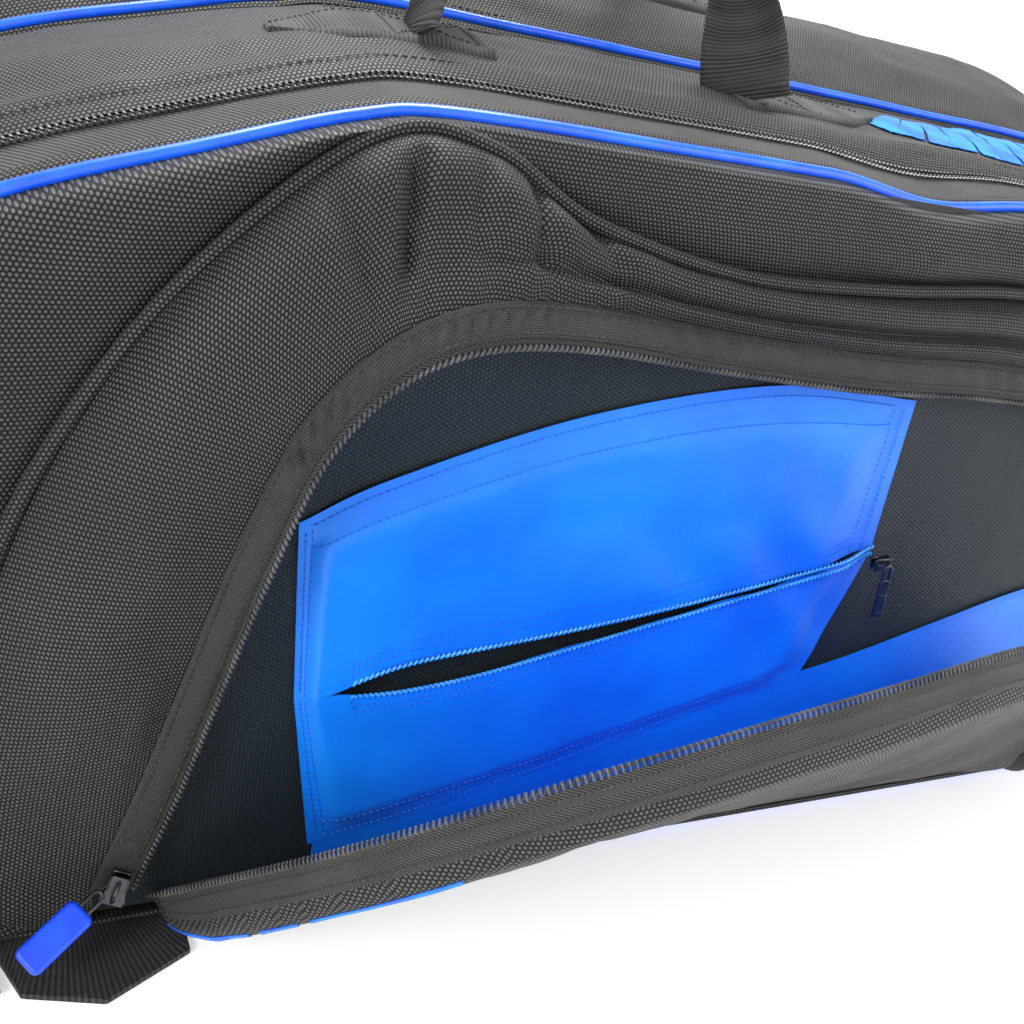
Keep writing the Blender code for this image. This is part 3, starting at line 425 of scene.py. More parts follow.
def rim(y, offset=0.0, per_segment=14):
    """The bag's outline at depth y, moved outwards by offset, from one bottom corner to the other."""
    base = spline(OUTLINE, per_segment)
    x, z = base[:, 0], base[:, 1]
    crown = np.clip(1.0 - ((x - CROWN_MID) / CROWN_HALF) ** 8, 0.0, 1.0)
    crown = crown * (1.0 + NOSE_LIFT * np.clip((x - NOSE_X[0]) / (NOSE_X[1] - NOSE_X[0]), 0.0, 1.0))
    lift = np.interp(y, LIFT_CURVE[:, 0], LIFT_CURVE[:, 1])
    z = SEAM_Z + (z - SEAM_Z) * (1.0 + lift * crown / OUTLINE_H)
    upper = smooth_step(z, 0.2, 0.3)
    near = smooth_step(-y, 0.070, 0.105)
    z = z - DIP_DEPTH * bump(x, DIP_X, DIP_HALF) * upper * near
    x = x * (1.0 + END_BULGE * (1.0 - (y / PANEL_Y) ** 2))
    curve = np.column_stack([x, z])
    across = tangents(curve)
    outward = np.column_stack([-across[:, 1], across[:, 0]])
    curve = curve + outward * np.reshape(offset, (-1, 1) if np.ndim(offset) else (1, 1))
    return points_at(curve[:, 0], y, curve[:, 1])


def outward_of(curve):
    """Directions out of the bag along a run of its outline."""
    across = tangents(curve)
    return points_at(-across[:, 2], 0.0, across[:, 0])


def top_height(x, y):
    """Height of the bag's top over a point."""
    curve = rim(y)
    upper = curve[curve[:, 2] > UPPER_Z]
    return float(np.interp(x, upper[:, 0], upper[:, 2]))


# ---- finishes -------------------------------------------------------------------------------------
class Finish:
    """A Principled material whose patterns are built from nodes."""

    def __init__(self, name, slot="", metallic=0.0, sheen=0.0, coat=0.0, coat_roughness=0.1, specular=0.5):
        self.slot = slot
        self.mat = bpy.data.materials.new(name)
        self.mat.use_nodes = True
        self.tree = self.mat.node_tree
        self.shader = self.tree.nodes["Principled BSDF"]
        for socket, value in (("Metallic", metallic), ("Sheen Weight", sheen), ("Sheen Roughness", 0.45),
                              ("Coat Weight", coat), ("Coat Roughness", coat_roughness),
                              ("Specular IOR Level", specular)):
            self.shader.inputs[socket].default_value = value

    def in_slot(self, slot):
        """The same finish for pieces that are recoloured with another slot."""
        other = copy.copy(self)
        other.slot = slot
        return other

    def put(self, socket, value):
        """Link a socket to another, or set it; a colour is given by its three parts."""
        if isinstance(value, bpy.types.NodeSocket):
            self.tree.links.new(value, socket)
        else:
            socket.default_value = (*value, 1.0) if isinstance(value, tuple) else value

    def math(self, kind, a, b=0.0, c=0.0):
        """Result of a sum on sockets or numbers."""
        node = self.tree.nodes.new("ShaderNodeMath")
        node.operation = kind
        for socket, value in zip(node.inputs, (a, b, c)):
            self.put(socket, value)
        return node.outputs[0]

    def cloth(self):
        """Cloth coordinates, metres along and across, as two sockets."""
        node = self.tree.nodes.new("ShaderNodeUVMap")
        node.uv_map = "Cloth"
        split = self.tree.nodes.new("ShaderNodeSeparateXYZ")
        self.tree.links.new(node.outputs[0], split.inputs[0])
        return split.outputs[0], split.outputs[1]

    def noise(self, scale, detail=2.0, roughness=0.5):
        """Noise over the object's own coordinates, from about 0 to 1."""
        place = self.tree.nodes.new("ShaderNodeTexCoord")
        node = self.tree.nodes.new("ShaderNodeTexNoise")
        for socket, value in (("Scale", scale), ("Detail", detail), ("Roughness", roughness)):
            node.inputs[socket].default_value = value
        self.tree.links.new(place.outputs["Object"], node.inputs["Vector"])
        return node.outputs["Fac"]

    def ramp(self, value, low, high, to_low=0.0, to_high=1.0):
        """A smooth ramp that takes low to to_low and high to to_high."""
        node = self.tree.nodes.new("ShaderNodeMapRange")
        node.interpolation_type = "SMOOTHSTEP"
        for socket, number in zip(node.inputs, (value, low, high, to_low, to_high)):
            self.put(socket, number)
        return node.outputs[0]

    def mix(self, share, first, second):
        """Colour between a first and a second one."""
        node = self.tree.nodes.new("ShaderNodeMix")
        node.data_type = "RGBA"
        for number, value in ((0, share), (6, first), (7, second)):
            self.put(node.inputs[number], value)
        return node.outputs[2]

    def colour(self, value):
        """Colour of the surface."""
        self.put(self.shader.inputs["Base Color"], value)

    def roughness(self, value):
        """Roughness of the surface."""
        self.put(self.shader.inputs["Roughness"], value)

    def relief(self, height, strength, distance):
        """Bump from a height that runs from about 0 to 1."""
        node = self.tree.nodes.new("ShaderNodeBump")
        node.inputs["Strength"].default_value = strength
        node.inputs["Distance"].default_value = distance
        self.put(node.inputs["Height"], height)
        self.tree.links.new(node.outputs[0], self.shader.inputs["Normal"])

    def hex_beads(self, cell):
        """Squared distance, in cells, from the nearest bead of a hexagonal weave."""
        u, v = self.cloth()
        root = 3 ** 0.5
        u = self.math("DIVIDE", u, cell)
        v = self.math("DIVIDE", v, cell * root)
        square = []
        for shift in (0.0, 0.5):
            a = self.math("SUBTRACT", self.math("FRACT", self.math("ADD", u, shift)), 0.5)
            b = self.math("SUBTRACT", self.math("FRACT", self.math("ADD", v, shift)), 0.5)
            b = self.math("MULTIPLY", b, root)
            square.append(self.math("ADD", self.math("MULTIPLY", a, a), self.math("MULTIPLY", b, b)))
        return self.math("MINIMUM", square[0], square[1])

    def rib(self, pitch, along, slant=0.0):
        """A wave from 0 to 1 across ribs, slanted like twill if asked."""
        u, v = self.cloth()
        base, other = (u, v) if along else (v, u)
        if slant:
            base = self.math("ADD", base, self.math("MULTIPLY", other, slant))
        wave = self.math("SINE", self.math("MULTIPLY", base, 2 * np.pi / pitch))
        return self.math("MULTIPLY_ADD", wave, 0.5, 0.5)


def woven(name, slot, gap, yarn, cell, depth, rough=(0.40, 0.66), sheen=0.03, specular=0.36):
    """Jacquard cloth: shiny beads of yarn in a honeycomb with dark gaps between."""
    f = Finish(name, slot, sheen=sheen, specular=specular)
    distance = f.hex_beads(cell)
    bead = f.ramp(distance, 0.16, 0.030)
    patch = f.ramp(f.noise(14.0, 3.0), 0.3, 0.7, 0.80, 1.0)
    fleck = f.ramp(f.noise(900.0, 1.0), 0.25, 0.75, 0.82, 1.10)
    shade = f.math("MULTIPLY", patch, fleck)
    lit = f.mix(shade, (0.0, 0.0, 0.0), yarn)
    f.colour(f.mix(bead, gap, lit))
    f.roughness(f.ramp(bead, 0.0, 1.0, rough[1], rough[0]))
    f.relief(f.math("ADD", bead, f.math("MULTIPLY", f.noise(1400.0, 1.0), 0.25)), 0.55, depth)
    return f


def satin(name, slot, deep, bright):
    """Coated nylon: fine twill under a soft film, with faint handling creases."""
    f = Finish(name, slot, sheen=0.03, coat=0.04, coat_roughness=0.35, specular=0.35)
    twill = f.rib(0.00055, True, 1.0)
    weft = f.rib(0.00048, False, 0.0)
    weave = f.math("MULTIPLY", twill, weft)
    patch = f.ramp(f.noise(11.0, 3.0), 0.25, 0.75)
    f.colour(f.mix(f.math("MULTIPLY_ADD", weave, 0.35, f.math("MULTIPLY", patch, 0.6)), deep, bright))
    f.roughness(f.ramp(patch, 0.0, 1.0, 0.42, 0.34))
    creases = f.noise(46.0, 4.0, 0.62)
    f.relief(f.math("MULTIPLY_ADD", weave, 0.10, creases), 0.28, 0.0030)
    return f


def ribbed(name, slot, gap, yarn, pitch, slant=0.0):
    """Narrow woven goods: ribs with the yarn's own twist across them."""
    f = Finish(name, slot, sheen=0.05, specular=0.35)
    wave = f.rib(pitch, True, slant)
    yarn_wave = f.rib(0.00062, False)
    patch = f.ramp(f.noise(30.0, 2.0), 0.3, 0.7, 0.82, 1.0)
    body = f.math("MULTIPLY", f.math("MULTIPLY_ADD", yarn_wave, 0.35, 0.65), f.math("MULTIPLY", wave, patch))
    f.colour(f.mix(body, gap, yarn))
    f.roughness(f.ramp(patch, 0.8, 1.0, 0.78, 0.70))
    f.relief(f.math("MULTIPLY_ADD", yarn_wave, 0.45, wave), 0.6, 0.00035)
    return f


def chevron(name, slot, gap, yarn, pitch, width):
    """Herringbone zip tape: twill that turns over along its middle."""
    f = Finish(name, slot, sheen=0.05, specular=0.3)
    u, v = f.cloth()
    bent = f.math("ABSOLUTE", f.math("SUBTRACT", f.math("FRACT", f.math("DIVIDE", v, width)), 0.5))
    slope = f.math("MULTIPLY", bent, 2.0 * width)
    wave = f.math("SINE", f.math("MULTIPLY", f.math("ADD", u, slope), 2 * np.pi / pitch))
    wave = f.math("MULTIPLY_ADD", wave, 0.5, 0.5)
    patch = f.ramp(f.noise(40.0, 2.0), 0.3, 0.7, 0.8, 1.0)
    f.colour(f.mix(f.math("MULTIPLY", wave, patch), gap, yarn))
    f.roughness(f.ramp(wave, 0.0, 1.0, 0.75, 0.55))
    f.relief(wave, 0.5, 0.00030)
    return f


def moulded(name, slot, dark, light, rough, coat=0.0, specular=0.5, grain=600.0, metallic=0.0):
    """Moulded, plated or painted part with a fine grain, and duller where it is handled."""
    f = Finish(name, slot, metallic=metallic, coat=coat, coat_roughness=0.12, specular=specular)
    patch = f.ramp(f.noise(55.0, 3.0), 0.3, 0.7)
    f.colour(f.mix(patch, dark, light))
    f.roughness(f.ramp(f.noise(120.0, 3.0), 0.25, 0.75, rough * 0.85, rough * 1.2))
    f.relief(f.noise(grain, 2.0), 0.35, 0.00006)
    return f


FABRIC = woven("bag_fabric", "bag_fabric", (0.0012, 0.0012, 0.0010), (0.076, 0.078, 0.069), 0.00178, 0.00070,
               rough=(0.42, 0.66), specular=0.22)
FACING = woven("bag_facing", "bag_fabric", (0.003, 0.003, 0.0025), (0.050, 0.050, 0.044), 0.00105, 0.00034)
LINING = woven("mesh_lining", "mesh_lining", (0.0070, 0.0110, 0.0138), (0.024, 0.036, 0.043), 0.00185,
               0.00036, specular=0.25)
DIVIDER = woven("divider_lining", "divider_lining", (0.018, 0.019, 0.020), (0.070, 0.073, 0.078), 0.0012,
                0.00020, sheen=0.15)
PADDED = woven("padded_fabric", "padded_fabric", (0.004, 0.004, 0.004), (0.050, 0.050, 0.048), 0.0030,
               0.00060)
NYLON = satin("blue_nylon", "blue_nylon", (0.002, 0.120, 0.720), (0.006, 0.275, 0.940))
WEBBING = ribbed("webbing", "webbing", (0.006, 0.006, 0.006), (0.050, 0.049, 0.047), RIB_PITCH)
BINDING = ribbed("edge_binding", "webbing", (0.008, 0.008, 0.008), (0.060, 0.060, 0.058), 0.0012, slant=0.6)
TAPE = chevron("zip_tape", "zip_tape", (0.003, 0.003, 0.003), (0.062, 0.062, 0.058), 0.0018, 0.0062)
TWILL = ribbed("zip_twill", "zip_tape", (0.003, 0.003, 0.003), (0.072, 0.072, 0.067), 0.0021, slant=1.0)
COIL = moulded("zip_coil", "zip_coil", (0.026, 0.027, 0.025), (0.070, 0.071, 0.067), 0.40, specular=0.5)
BLUE_COIL = moulded("blue_zip_coil", "blue_zip_coil", (0.010, 0.260, 0.800), (0.060, 0.420, 0.980), 0.28,
                    specular=0.8)
VINYL = moulded("blue_vinyl", "blue_vinyl", (0.003, 0.078, 0.810), (0.006, 0.125, 0.950), 0.34, coat=0.22)
RUBBER = moulded("blue_rubber", "blue_rubber", (0.002, 0.050, 0.760), (0.006, 0.080, 0.880), 0.40)
METAL = moulded("slider_metal", "slider_metal", (0.060, 0.060, 0.062), (0.130, 0.130, 0.135), 0.30,
                metallic=1.0)
PLASTIC = moulded("black_plastic", "black_plastic", (0.010, 0.010, 0.010), (0.022, 0.022, 0.022), 0.42)
THREAD = moulded("black_thread", "bag_fabric", (0.010, 0.010, 0.010), (0.030, 0.030, 0.029), 0.6,
                 grain=2500.0)
STRAP_THREAD = THREAD.in_slot("webbing")
BLUE_THREAD = moulded("blue_thread", "blue_nylon", (0.003, 0.100, 0.640), (0.006, 0.160, 0.780), 0.55,
                      grain=2500.0)
PRINT = moulded("blue_print", "blue_vinyl", (0.003, 0.090, 0.700), (0.006, 0.190, 0.860), 0.55, specular=0.3)


# ---- camera, light and floor ----------------------------------------------------------------------
CAMERA_PLACE = (-0.267, -0.474, 0.345)
CAMERA_TURN = np.radians(29.2)     # from +Y towards +X
CAMERA_DOWN = np.radians(22.0)
CAMERA_ROLL = np.radians(11.0)
LENS = 38.67
SENSOR = 36.0


def make_camera():
    """The photo's own camera."""
    turn, down, roll = CAMERA_TURN, CAMERA_DOWN, CAMERA_ROLL
    forward = np.array([np.sin(turn) * np.cos(down), np.cos(turn) * np.cos(down), -np.sin(down)])
    level = np.array([np.cos(turn), -np.sin(turn), 0.0])
    below = np.cross(forward, level)
    right = np.cos(roll) * level - np.sin(roll) * below
    lower = np.sin(roll) * level + np.cos(roll) * below
    data = bpy.data.cameras.new("camera")
    data.lens = LENS
    data.sensor_width = SENSOR
    data.clip_start = 0.01
    camera = bpy.data.objects.new("camera", data)
    turned = Matrix(np.column_stack([right, -lower, -forward]).tolist()).to_4x4()
    camera.matrix_world = Matrix.Translation(CAMERA_PLACE) @ turned
    bpy.context.scene.collection.objects.link(camera)
    bpy.context.scene.camera = camera


def area_light(name, place, target, size, energy):
    """Square soft light at a place, aimed at a target."""
    data = bpy.data.lights.new(name, "AREA")
    data.size = size
    data.energy = energy
    light = bpy.data.objects.new(name, data)
    aim = Vector(target) - Vector(place)
    light.matrix_world = Matrix.Translation(place) @ aim.to_track_quat("-Z", "Y").to_matrix().to_4x4()
    bpy.context.scene.collection.objects.link(light)


LIGHTS = [                 # name, place, target, size, watts
    ("overhead", (0.05, 0.35, 1.55), (0.0, 0.0, 0.2), 0.90, 50.0),
    ("front_left", (-1.50, -1.25, 1.10), (-0.1, -0.1, 0.2), 0.70, 25.0),
    ("front_right", (1.30, -1.50, 0.90), (0.1, -0.1, 0.15), 1.00, 8.0)]
WHITE = (1.0, 1.0, 1.0, 1.0)
WORLD_GLOW = 0.44
PAPER_GLOW = 0.42
PAPER_R, PAPER_H, PAPER_SIDES = 6.0, 5.0, 48


def make_stage():
    """White studio: three soft lights, and a floor of paper turned up into a ring round the bag."""
    scene = bpy.context.scene
    scene.world = bpy.data.worlds.new("studio")
    scene.world.use_nodes = True
    background = scene.world.node_tree.nodes["Background"]
    background.inputs["Color"].default_value = WHITE
    background.inputs["Strength"].default_value = WORLD_GLOW
    scene.view_settings.view_transform = "Standard"
    for light in LIGHTS:
        area_light(*light)
    turns = 2 * np.pi * np.arange(PAPER_SIDES) / PAPER_SIDES
    verts = [(PAPER_R * np.cos(a), PAPER_R * np.sin(a), z) for z in (0.0, PAPER_H) for a in turns]
    faces = [tuple(range(PAPER_SIDES))]
    for k in range(PAPER_SIDES):
        n = (k + 1) % PAPER_SIDES
        faces.append((k, n, PAPER_SIDES + n, PAPER_SIDES + k))
    mesh = bpy.data.meshes.new("floor")
    mesh.from_pydata(verts, [], faces)
    floor = bpy.data.objects.new("floor", mesh)
    f = Finish("floor_paper", specular=0.2)
    f.colour(f.mix(f.ramp(f.noise(3.0), 0.3, 0.7), (0.86, 0.86, 0.86), (0.90, 0.90, 0.90)))
    f.roughness(0.9)
    f.shader.inputs["Emission Color"].default_value = WHITE
    f.shader.inputs["Emission Strength"].default_value = PAPER_GLOW
    floor.data.materials.append(f.mat)
    scene.collection.objects.link(floor)


# ---- shell: gussets, tapes, zips and piping -------------------------------------------------------
COIL_OFFSET = 0.00125
GUSSET_START, GUSSET_END = 0.0006, 0.0912
GUSSET_PUFF = 0.0030
TAPE_IN = 0.0777           # inner edge of the inner tape, under the gusset's hem
TAPE_OUT = 0.1098          # outer edge of the outer tape
TAPE_CLEAR = 0.0002        # between a tape and the middle of its zip
BAND_LAP = 0.0022          # how far the lid's rim band laps over the outer tape
RIM_END = 0.1146
SEAM_SINK = 0.0024
HEM_STEP = 0.0016
STITCH_FOOT = 0.020        # seams show their stitches above this height


def strip(side, low, high, cols, offset_at):
    """Grid over the bag's outer surface, from depth low to high at offset_at(share), facing outward."""
    share = shares(cols)
    grid = np.stack([rim(side * (low + (high - low) * t), offset_at(t)) for t in share], axis=1)
    if np.sum(grid_normals(grid) * outward_of(rim(0.0))[:, None]) < 0.0:
        grid = grid[:, ::-1]
    return grid


def rumple(grid, height, frequency, seed):
    """Push a grid along its normals in soft folds that die out towards its long edges."""
    share = shares(grid.shape[1])
    mask = off_ends(share, 0.12)[None, :]
    return grid + grid_normals(grid) * (height * folds(grid, frequency, seed) * mask)[:, :, None]


def gusset_skin(prefix, side):
    """Top and ends of a compartment: sunk at the middle seam, padded, with its hem on the zip tape."""
    height = smooth_step(rim(0.0)[:, 2], 0.12, 0.30)

    def offset_at(t):
        """How far the cloth lies outside the outline, at a share of its width."""
        valley = -SEAM_SINK * (1.0 - smooth_step(t, 0.0, 0.10))
        puff = GUSSET_PUFF * hump(t) ** 0.7
        hem = HEM_STEP * (smooth_step(t, 0.80, 0.86) - 0.55 * smooth_step(t, 0.985, 1.0))
        return valley + hem + puff * (0.4 + 0.6 * height)

    seed = 3 if side < 0 else 8
    grid = strip(side, GUSSET_START, GUSSET_END, 30, offset_at)
    grid = rumple(grid, 0.0022, (9.0, 30.0, 16.0), seed)
    grid = rumple(grid, 0.0007, (46.0, 70.0, 46.0), seed + 1)
    sheet_mesh(prefix + "_gusset_cloth", grid, 0.0012, "bag", FABRIC, (prefix + "_gusset",), held="stretched")


def tape_strip(name, side, low, high, body, node):
    """One half of a main zip's tape."""
    grid = rumple(strip(side, low, high, 7, lambda t: -0.0012), 0.0003, (60.0, 60.0, 60.0), 12)
    sheet_mesh(name, grid, TAPE_T, body, TWILL, (node,))


def rim_band(prefix, side):
    """Band of cloth between a main zip's outer tape and the piping."""
    grid = strip(side, TAPE_OUT - BAND_LAP, RIM_END, 10, lambda t: (
        0.0004 + 0.0006 * hump(t) - 0.0024 * smooth_step(t, 0.60, 1.0)))
    grid = rumple(grid, 0.0004, (50.0, 80.0, 50.0), 21)
    sheet_mesh(prefix + "_rim_cloth", grid, 0.0022, prefix + "_lid", FABRIC, (prefix + "_lid_rim",))


def zip_teeth(name, side, sign, body, node, phase):
    """One coil half of a main zip; sign is -1 for the half nearer the middle of the bag."""
    y = side * (ZIP_Y + sign * COIL_OFFSET)
    path = rim(y, 0.0, 10)
    slant = REAR * (side * sign) + tangents(path) * 0.45
    return coil_mesh(name, path, slant, outward_of(path), body, COIL, (node,),
                     half_width=0.0014, half_height=0.0010, wire=0.00056, turn_steps=8, phase=phase)


def closed_run(y):
    """The outline at depth y closed along the bottom."""
    curve = rim(y, 0.0, 10)
    bottom = curve[0, 2]
    run = np.linspace(curve[-1, 0], curve[0, 0], 60)[1:-1]
    return np.vstack([curve, points_at(run, y, bottom)])


def seam_stitches(name, y, offset, body):
    """Stitches along a seam that runs round the bag at depth y."""
    path = resample(rim(y, offset), 0.002)
    keep = path[:, 2] > STITCH_FOOT
    return stitch_mesh(name, path[keep], body, THREAD, lift=outward_of(path)[keep])


def build_shell():
    """Gussets, zip tapes, teeth, rim bands, piping and the stitched seams of both compartments."""
    for prefix, side in SIDES:
        gusset_skin(prefix, side)
    for prefix, side in SIDES:
        lid = prefix + "_lid"
        tape_strip(prefix + "_inner_tape_cloth", side, TAPE_IN, ZIP_Y - TAPE_CLEAR, "bag",
                   prefix + "_zip_inner_tape")
        tape_strip(prefix + "_outer_tape_cloth", side, ZIP_Y + TAPE_CLEAR, TAPE_OUT, lid,
                   prefix + "_zip_outer_tape")
        zip_teeth(prefix + "_inner_teeth", side, -1, "bag", prefix + "_zip_inner_coil", 0.0)
        zip_teeth(prefix + "_outer_teeth", side, 1, lid, prefix + "_zip_outer_coil", np.pi)
        rim_band(prefix, side)
        wave = closed_run(side * PANEL_Y)
        wave = wave + 0.0004 * noise_at(wave, (24.0, 1.0, 24.0), 31)[:, None]
        tube_mesh(prefix + "_piping_cord", wave, PIPING_R, 14, lid, VINYL, (prefix + "_piping",),
                  closed=True, up=(0.13, 0.98, 0.11))
        seam_stitches(prefix + "_gusset_stitches", side * 0.0835, 0.0033, "bag")
        seam_stitches(prefix + "_rim_stitches", side * 0.1080, -0.0004, lid)
        seam_stitches(prefix + "_middle_stitches", side * 0.0105, 0.0003, "bag")
    path = rim(0.0, 0.0020, 10)[10:-10]
    path = path + 0.0004 * noise_at(path, (24.0, 1.0, 24.0), 33)[:, None]
    tube_mesh("middle_piping_cord", path, MID_PIPING_R, 14, "bag", VINYL, ("mid_piping",),
              up=(0.13, 0.98, 0.11))


# ---- flat plates: side panels' inner faces and the divider ----------------------------------------
PLATE_ROWS, PLATE_COLS = 56, 110
QUILT_PITCH, QUILT_DEPTH = 0.055, 0.0007


def chord(outline, level):
    """The two x at which an outline of (x, z) points that rises and falls once passes a level."""
    peak = int(np.argmax(outline[:, 1]))
    halves = outline[:peak + 1], outline[peak:][::-1]
    return [float(np.interp(level, np.maximum.accumulate(half[:, 1]), half[:, 0])) for half in halves]


def plate_grid(y, inset):
    """Grid over the side outline at depth y: rows rise from the bottom, columns run along the bag."""
    outline = rim(y, -inset)[:, [0, 2]]
    low, high = SEAM_Z + inset, outline[:, 1].max() - 0.0002
    across = eased(PLATE_COLS)
    rows = []
    for z in low + (high - low) * np.sin(shares(PLATE_ROWS) * np.pi / 2):
        x0, x1 = chord(outline, z)
        rows.append(points_at(x0 + (x1 - x0) * across, y, z))
    return np.array(rows)


def edge_fall(grid, reach):
    """0 at a plate's outline, rising to 1 within reach of it."""
    points = grid.reshape(-1, 3)[:, [0, 2]]
    outline = np.vstack([grid[0], grid[:, -1], grid[-1][::-1], grid[::-1, 0]])[:, [0, 2]][::3]
    nearest = np.full(len(points), 9.0)
    for start in range(0, len(outline), 40):
        gap = np.linalg.norm(points[:, None] - outline[None, start:start + 40], axis=2).min(axis=1)
        nearest = np.minimum(nearest, gap)
    return smooth_step(nearest, 0.0, reach).reshape(grid.shape[:2])


def quilt(grid):
    """Depth of quilting lines that run diagonally both ways over a plate."""
    a = (grid[:, :, 0] + grid[:, :, 2]) / QUILT_PITCH
    b = (grid[:, :, 0] - grid[:, :, 2]) / QUILT_PITCH
    line = np.minimum(np.abs(a - np.round(a)), np.abs(b - np.round(b)))
    return -QUILT_DEPTH * (1.0 - smooth_step(line, 0.0, 0.12))


def build_plates():
    """Divider between the compartments, and the lining of both side panels."""
    grid = plate_grid(0.0, 0.0050)
    relief = quilt(grid)
    front, behind = grid.copy(), grid.copy()
    front[:, :, 1] = -0.0021 - relief
    behind[:, :, 1] = 0.0021 + relief
    board = sheet_mesh("divider_cloth", front, 0.0, "bag", DIVIDER, ("centre_divider",),
                       both=behind)
    for prefix, side in SIDES:
        grid = plate_grid(side * (PANEL_Y + 0.0005), 0.0045)
        relief = quilt(grid)
        inner, outer = grid.copy(), grid.copy()
        inner[:, :, 1] -= side * relief
        outer[:, :, 1] += side * 0.0024
        sheet_mesh(prefix + "_panel_lining", inner, 0.0, prefix + "_lid", DIVIDER, both=outer)


def closed_outline(side):
    """A side panel's outline, just inside the piping, and the bottom run that closes it."""
    curve = rim(side * PANEL_Y, -PANEL_INSET)
    low = SEAM_Z + PANEL_INSET
    curve[:, 2] = np.maximum(curve[:, 2], low)
    run = np.linspace(curve[-1, 0], curve[0, 0], 80)[1:-1]
    return curve, points_at(run, side * PANEL_Y, low)


PANEL_INSET = 0.0014       # from a side panel's outline to the edge of its cloth
TOP_POINTS, LOW_POINTS = 330, 150          # points along a panel's edge and along its bottom
SEAM_Y = -0.1218           # depth of the pocket seam on the near panel
SKIN_EDGE_Y = -0.1160
SEAM_ROLL_R = 0.0027


def ring_between(outer_top, inner_top, outer_low, inner_low, cols):
    """Grid of a ring: matching points on an outer and an inner closed curve, joined column by column."""
    outer = np.vstack([resample_to(outer_top, TOP_POINTS), resample_to(outer_low, LOW_POINTS)])
    inner = np.vstack([resample_to(inner_top, TOP_POINTS), resample_to(inner_low, LOW_POINTS)])
    return band_grid(outer, inner, cols)[0]


def build_near_panel():
    """Padded skin of the near side panel, from the piping to the pocket's seam."""
    top, low = closed_outline(-1)
    seam = spline([(x, SEAM_Y, z) for x, z in POCKET_SEAM], 14)
    seam_low = spline([(0.330, SEAM_Y, 0.030), (0.316, SEAM_Y, 0.0125), (0.280, SEAM_Y, 0.0085),
                       (-0.190, SEAM_Y, 0.0085), (-0.238, SEAM_Y, 0.0125), (-0.264, SEAM_Y, 0.030)], 14)
    cols = 30
    grid = ring_between(top, seam, low, seam_low, cols)
    share = shares(cols)
    width = np.linalg.norm(grid[:, -1] - grid[:, 0], axis=1)
    profile = np.where(share < 0.5, hump(share) ** 0.62, hump(share) ** 1.25)
    swell = np.minimum(0.0105, 0.17 * width)[:, None] * profile[None, :]
    base = SKIN_EDGE_Y + (SEAM_Y - SKIN_EDGE_Y) * smooth_step(share, 0.0, 0.10)
    lowest = smooth_step(grid[:, :, 2], 0.004, 0.016)
    grid[:, :, 1] = base[None, :] - swell * lowest
    mask = off_ends(share, 0.2)[None, :]
    waves = 0.0026 * folds(grid, (11.0, 1.0, 9.0), 41) + 0.0009 * folds(grid, (34.0, 1.0, 22.0), 43)
    grid[:, :, 1] -= waves * lowest * mask * np.minimum(1.0, width / 0.05)[:, None]
    behind = grid.copy()
    behind[:, :, 1] = np.maximum(behind[:, :, 1] + 0.0022, -0.1182)
    behind[:, :, 1] = np.minimum(behind[:, :, 1], SKIN_EDGE_Y + 0.0006)
    sheet_mesh("near_panel_cloth", grid, 0.0, "near_lid", FABRIC, ("near_side_panel",), ring=True,
               both=behind, held="stretched", planar=True, facing=FRONT)
    cord = resample(seam, 0.0025)
    cord = cord + np.array([0.0, -0.0042, 0.0])
    cord[:, 1] -= 0.0022 * smooth_step(cord[:, 0], -0.10, -0.04)
    cord[:, 1] -= 0.0007 * noise_at(cord, (30.0, 1.0, 30.0), 44)
    tube_mesh("pocket_seam_roll", cord, SEAM_ROLL_R, 12, "near_lid", FABRIC, up=(0.1, 1.0, 0.1))


# ---- the open side pocket -------------------------------------------------------------------------
FACING_W = 0.0150
TAPE_GAP = 0.0014
APEX = 6.0                 # where the pleats gather, in steps along the seam's points
CREASES = [(4.55, 0.30, 0.95, 0.0038), (5.25, -0.22, 0.95, 0.0058), (5.80, 0.06, 0.80, 0.0034),
           (6.35, 0.22, 0.90, 0.0052), (6.90, 0.45, 0.80, 0.0030)]


def out_from(grid):
    """Normals of a wall's grid, all turned away from the pocket."""
    normal = grid_normals(grid)
    if normal[:, :, 1].mean() > 0.0:
        normal = -normal
    return normal


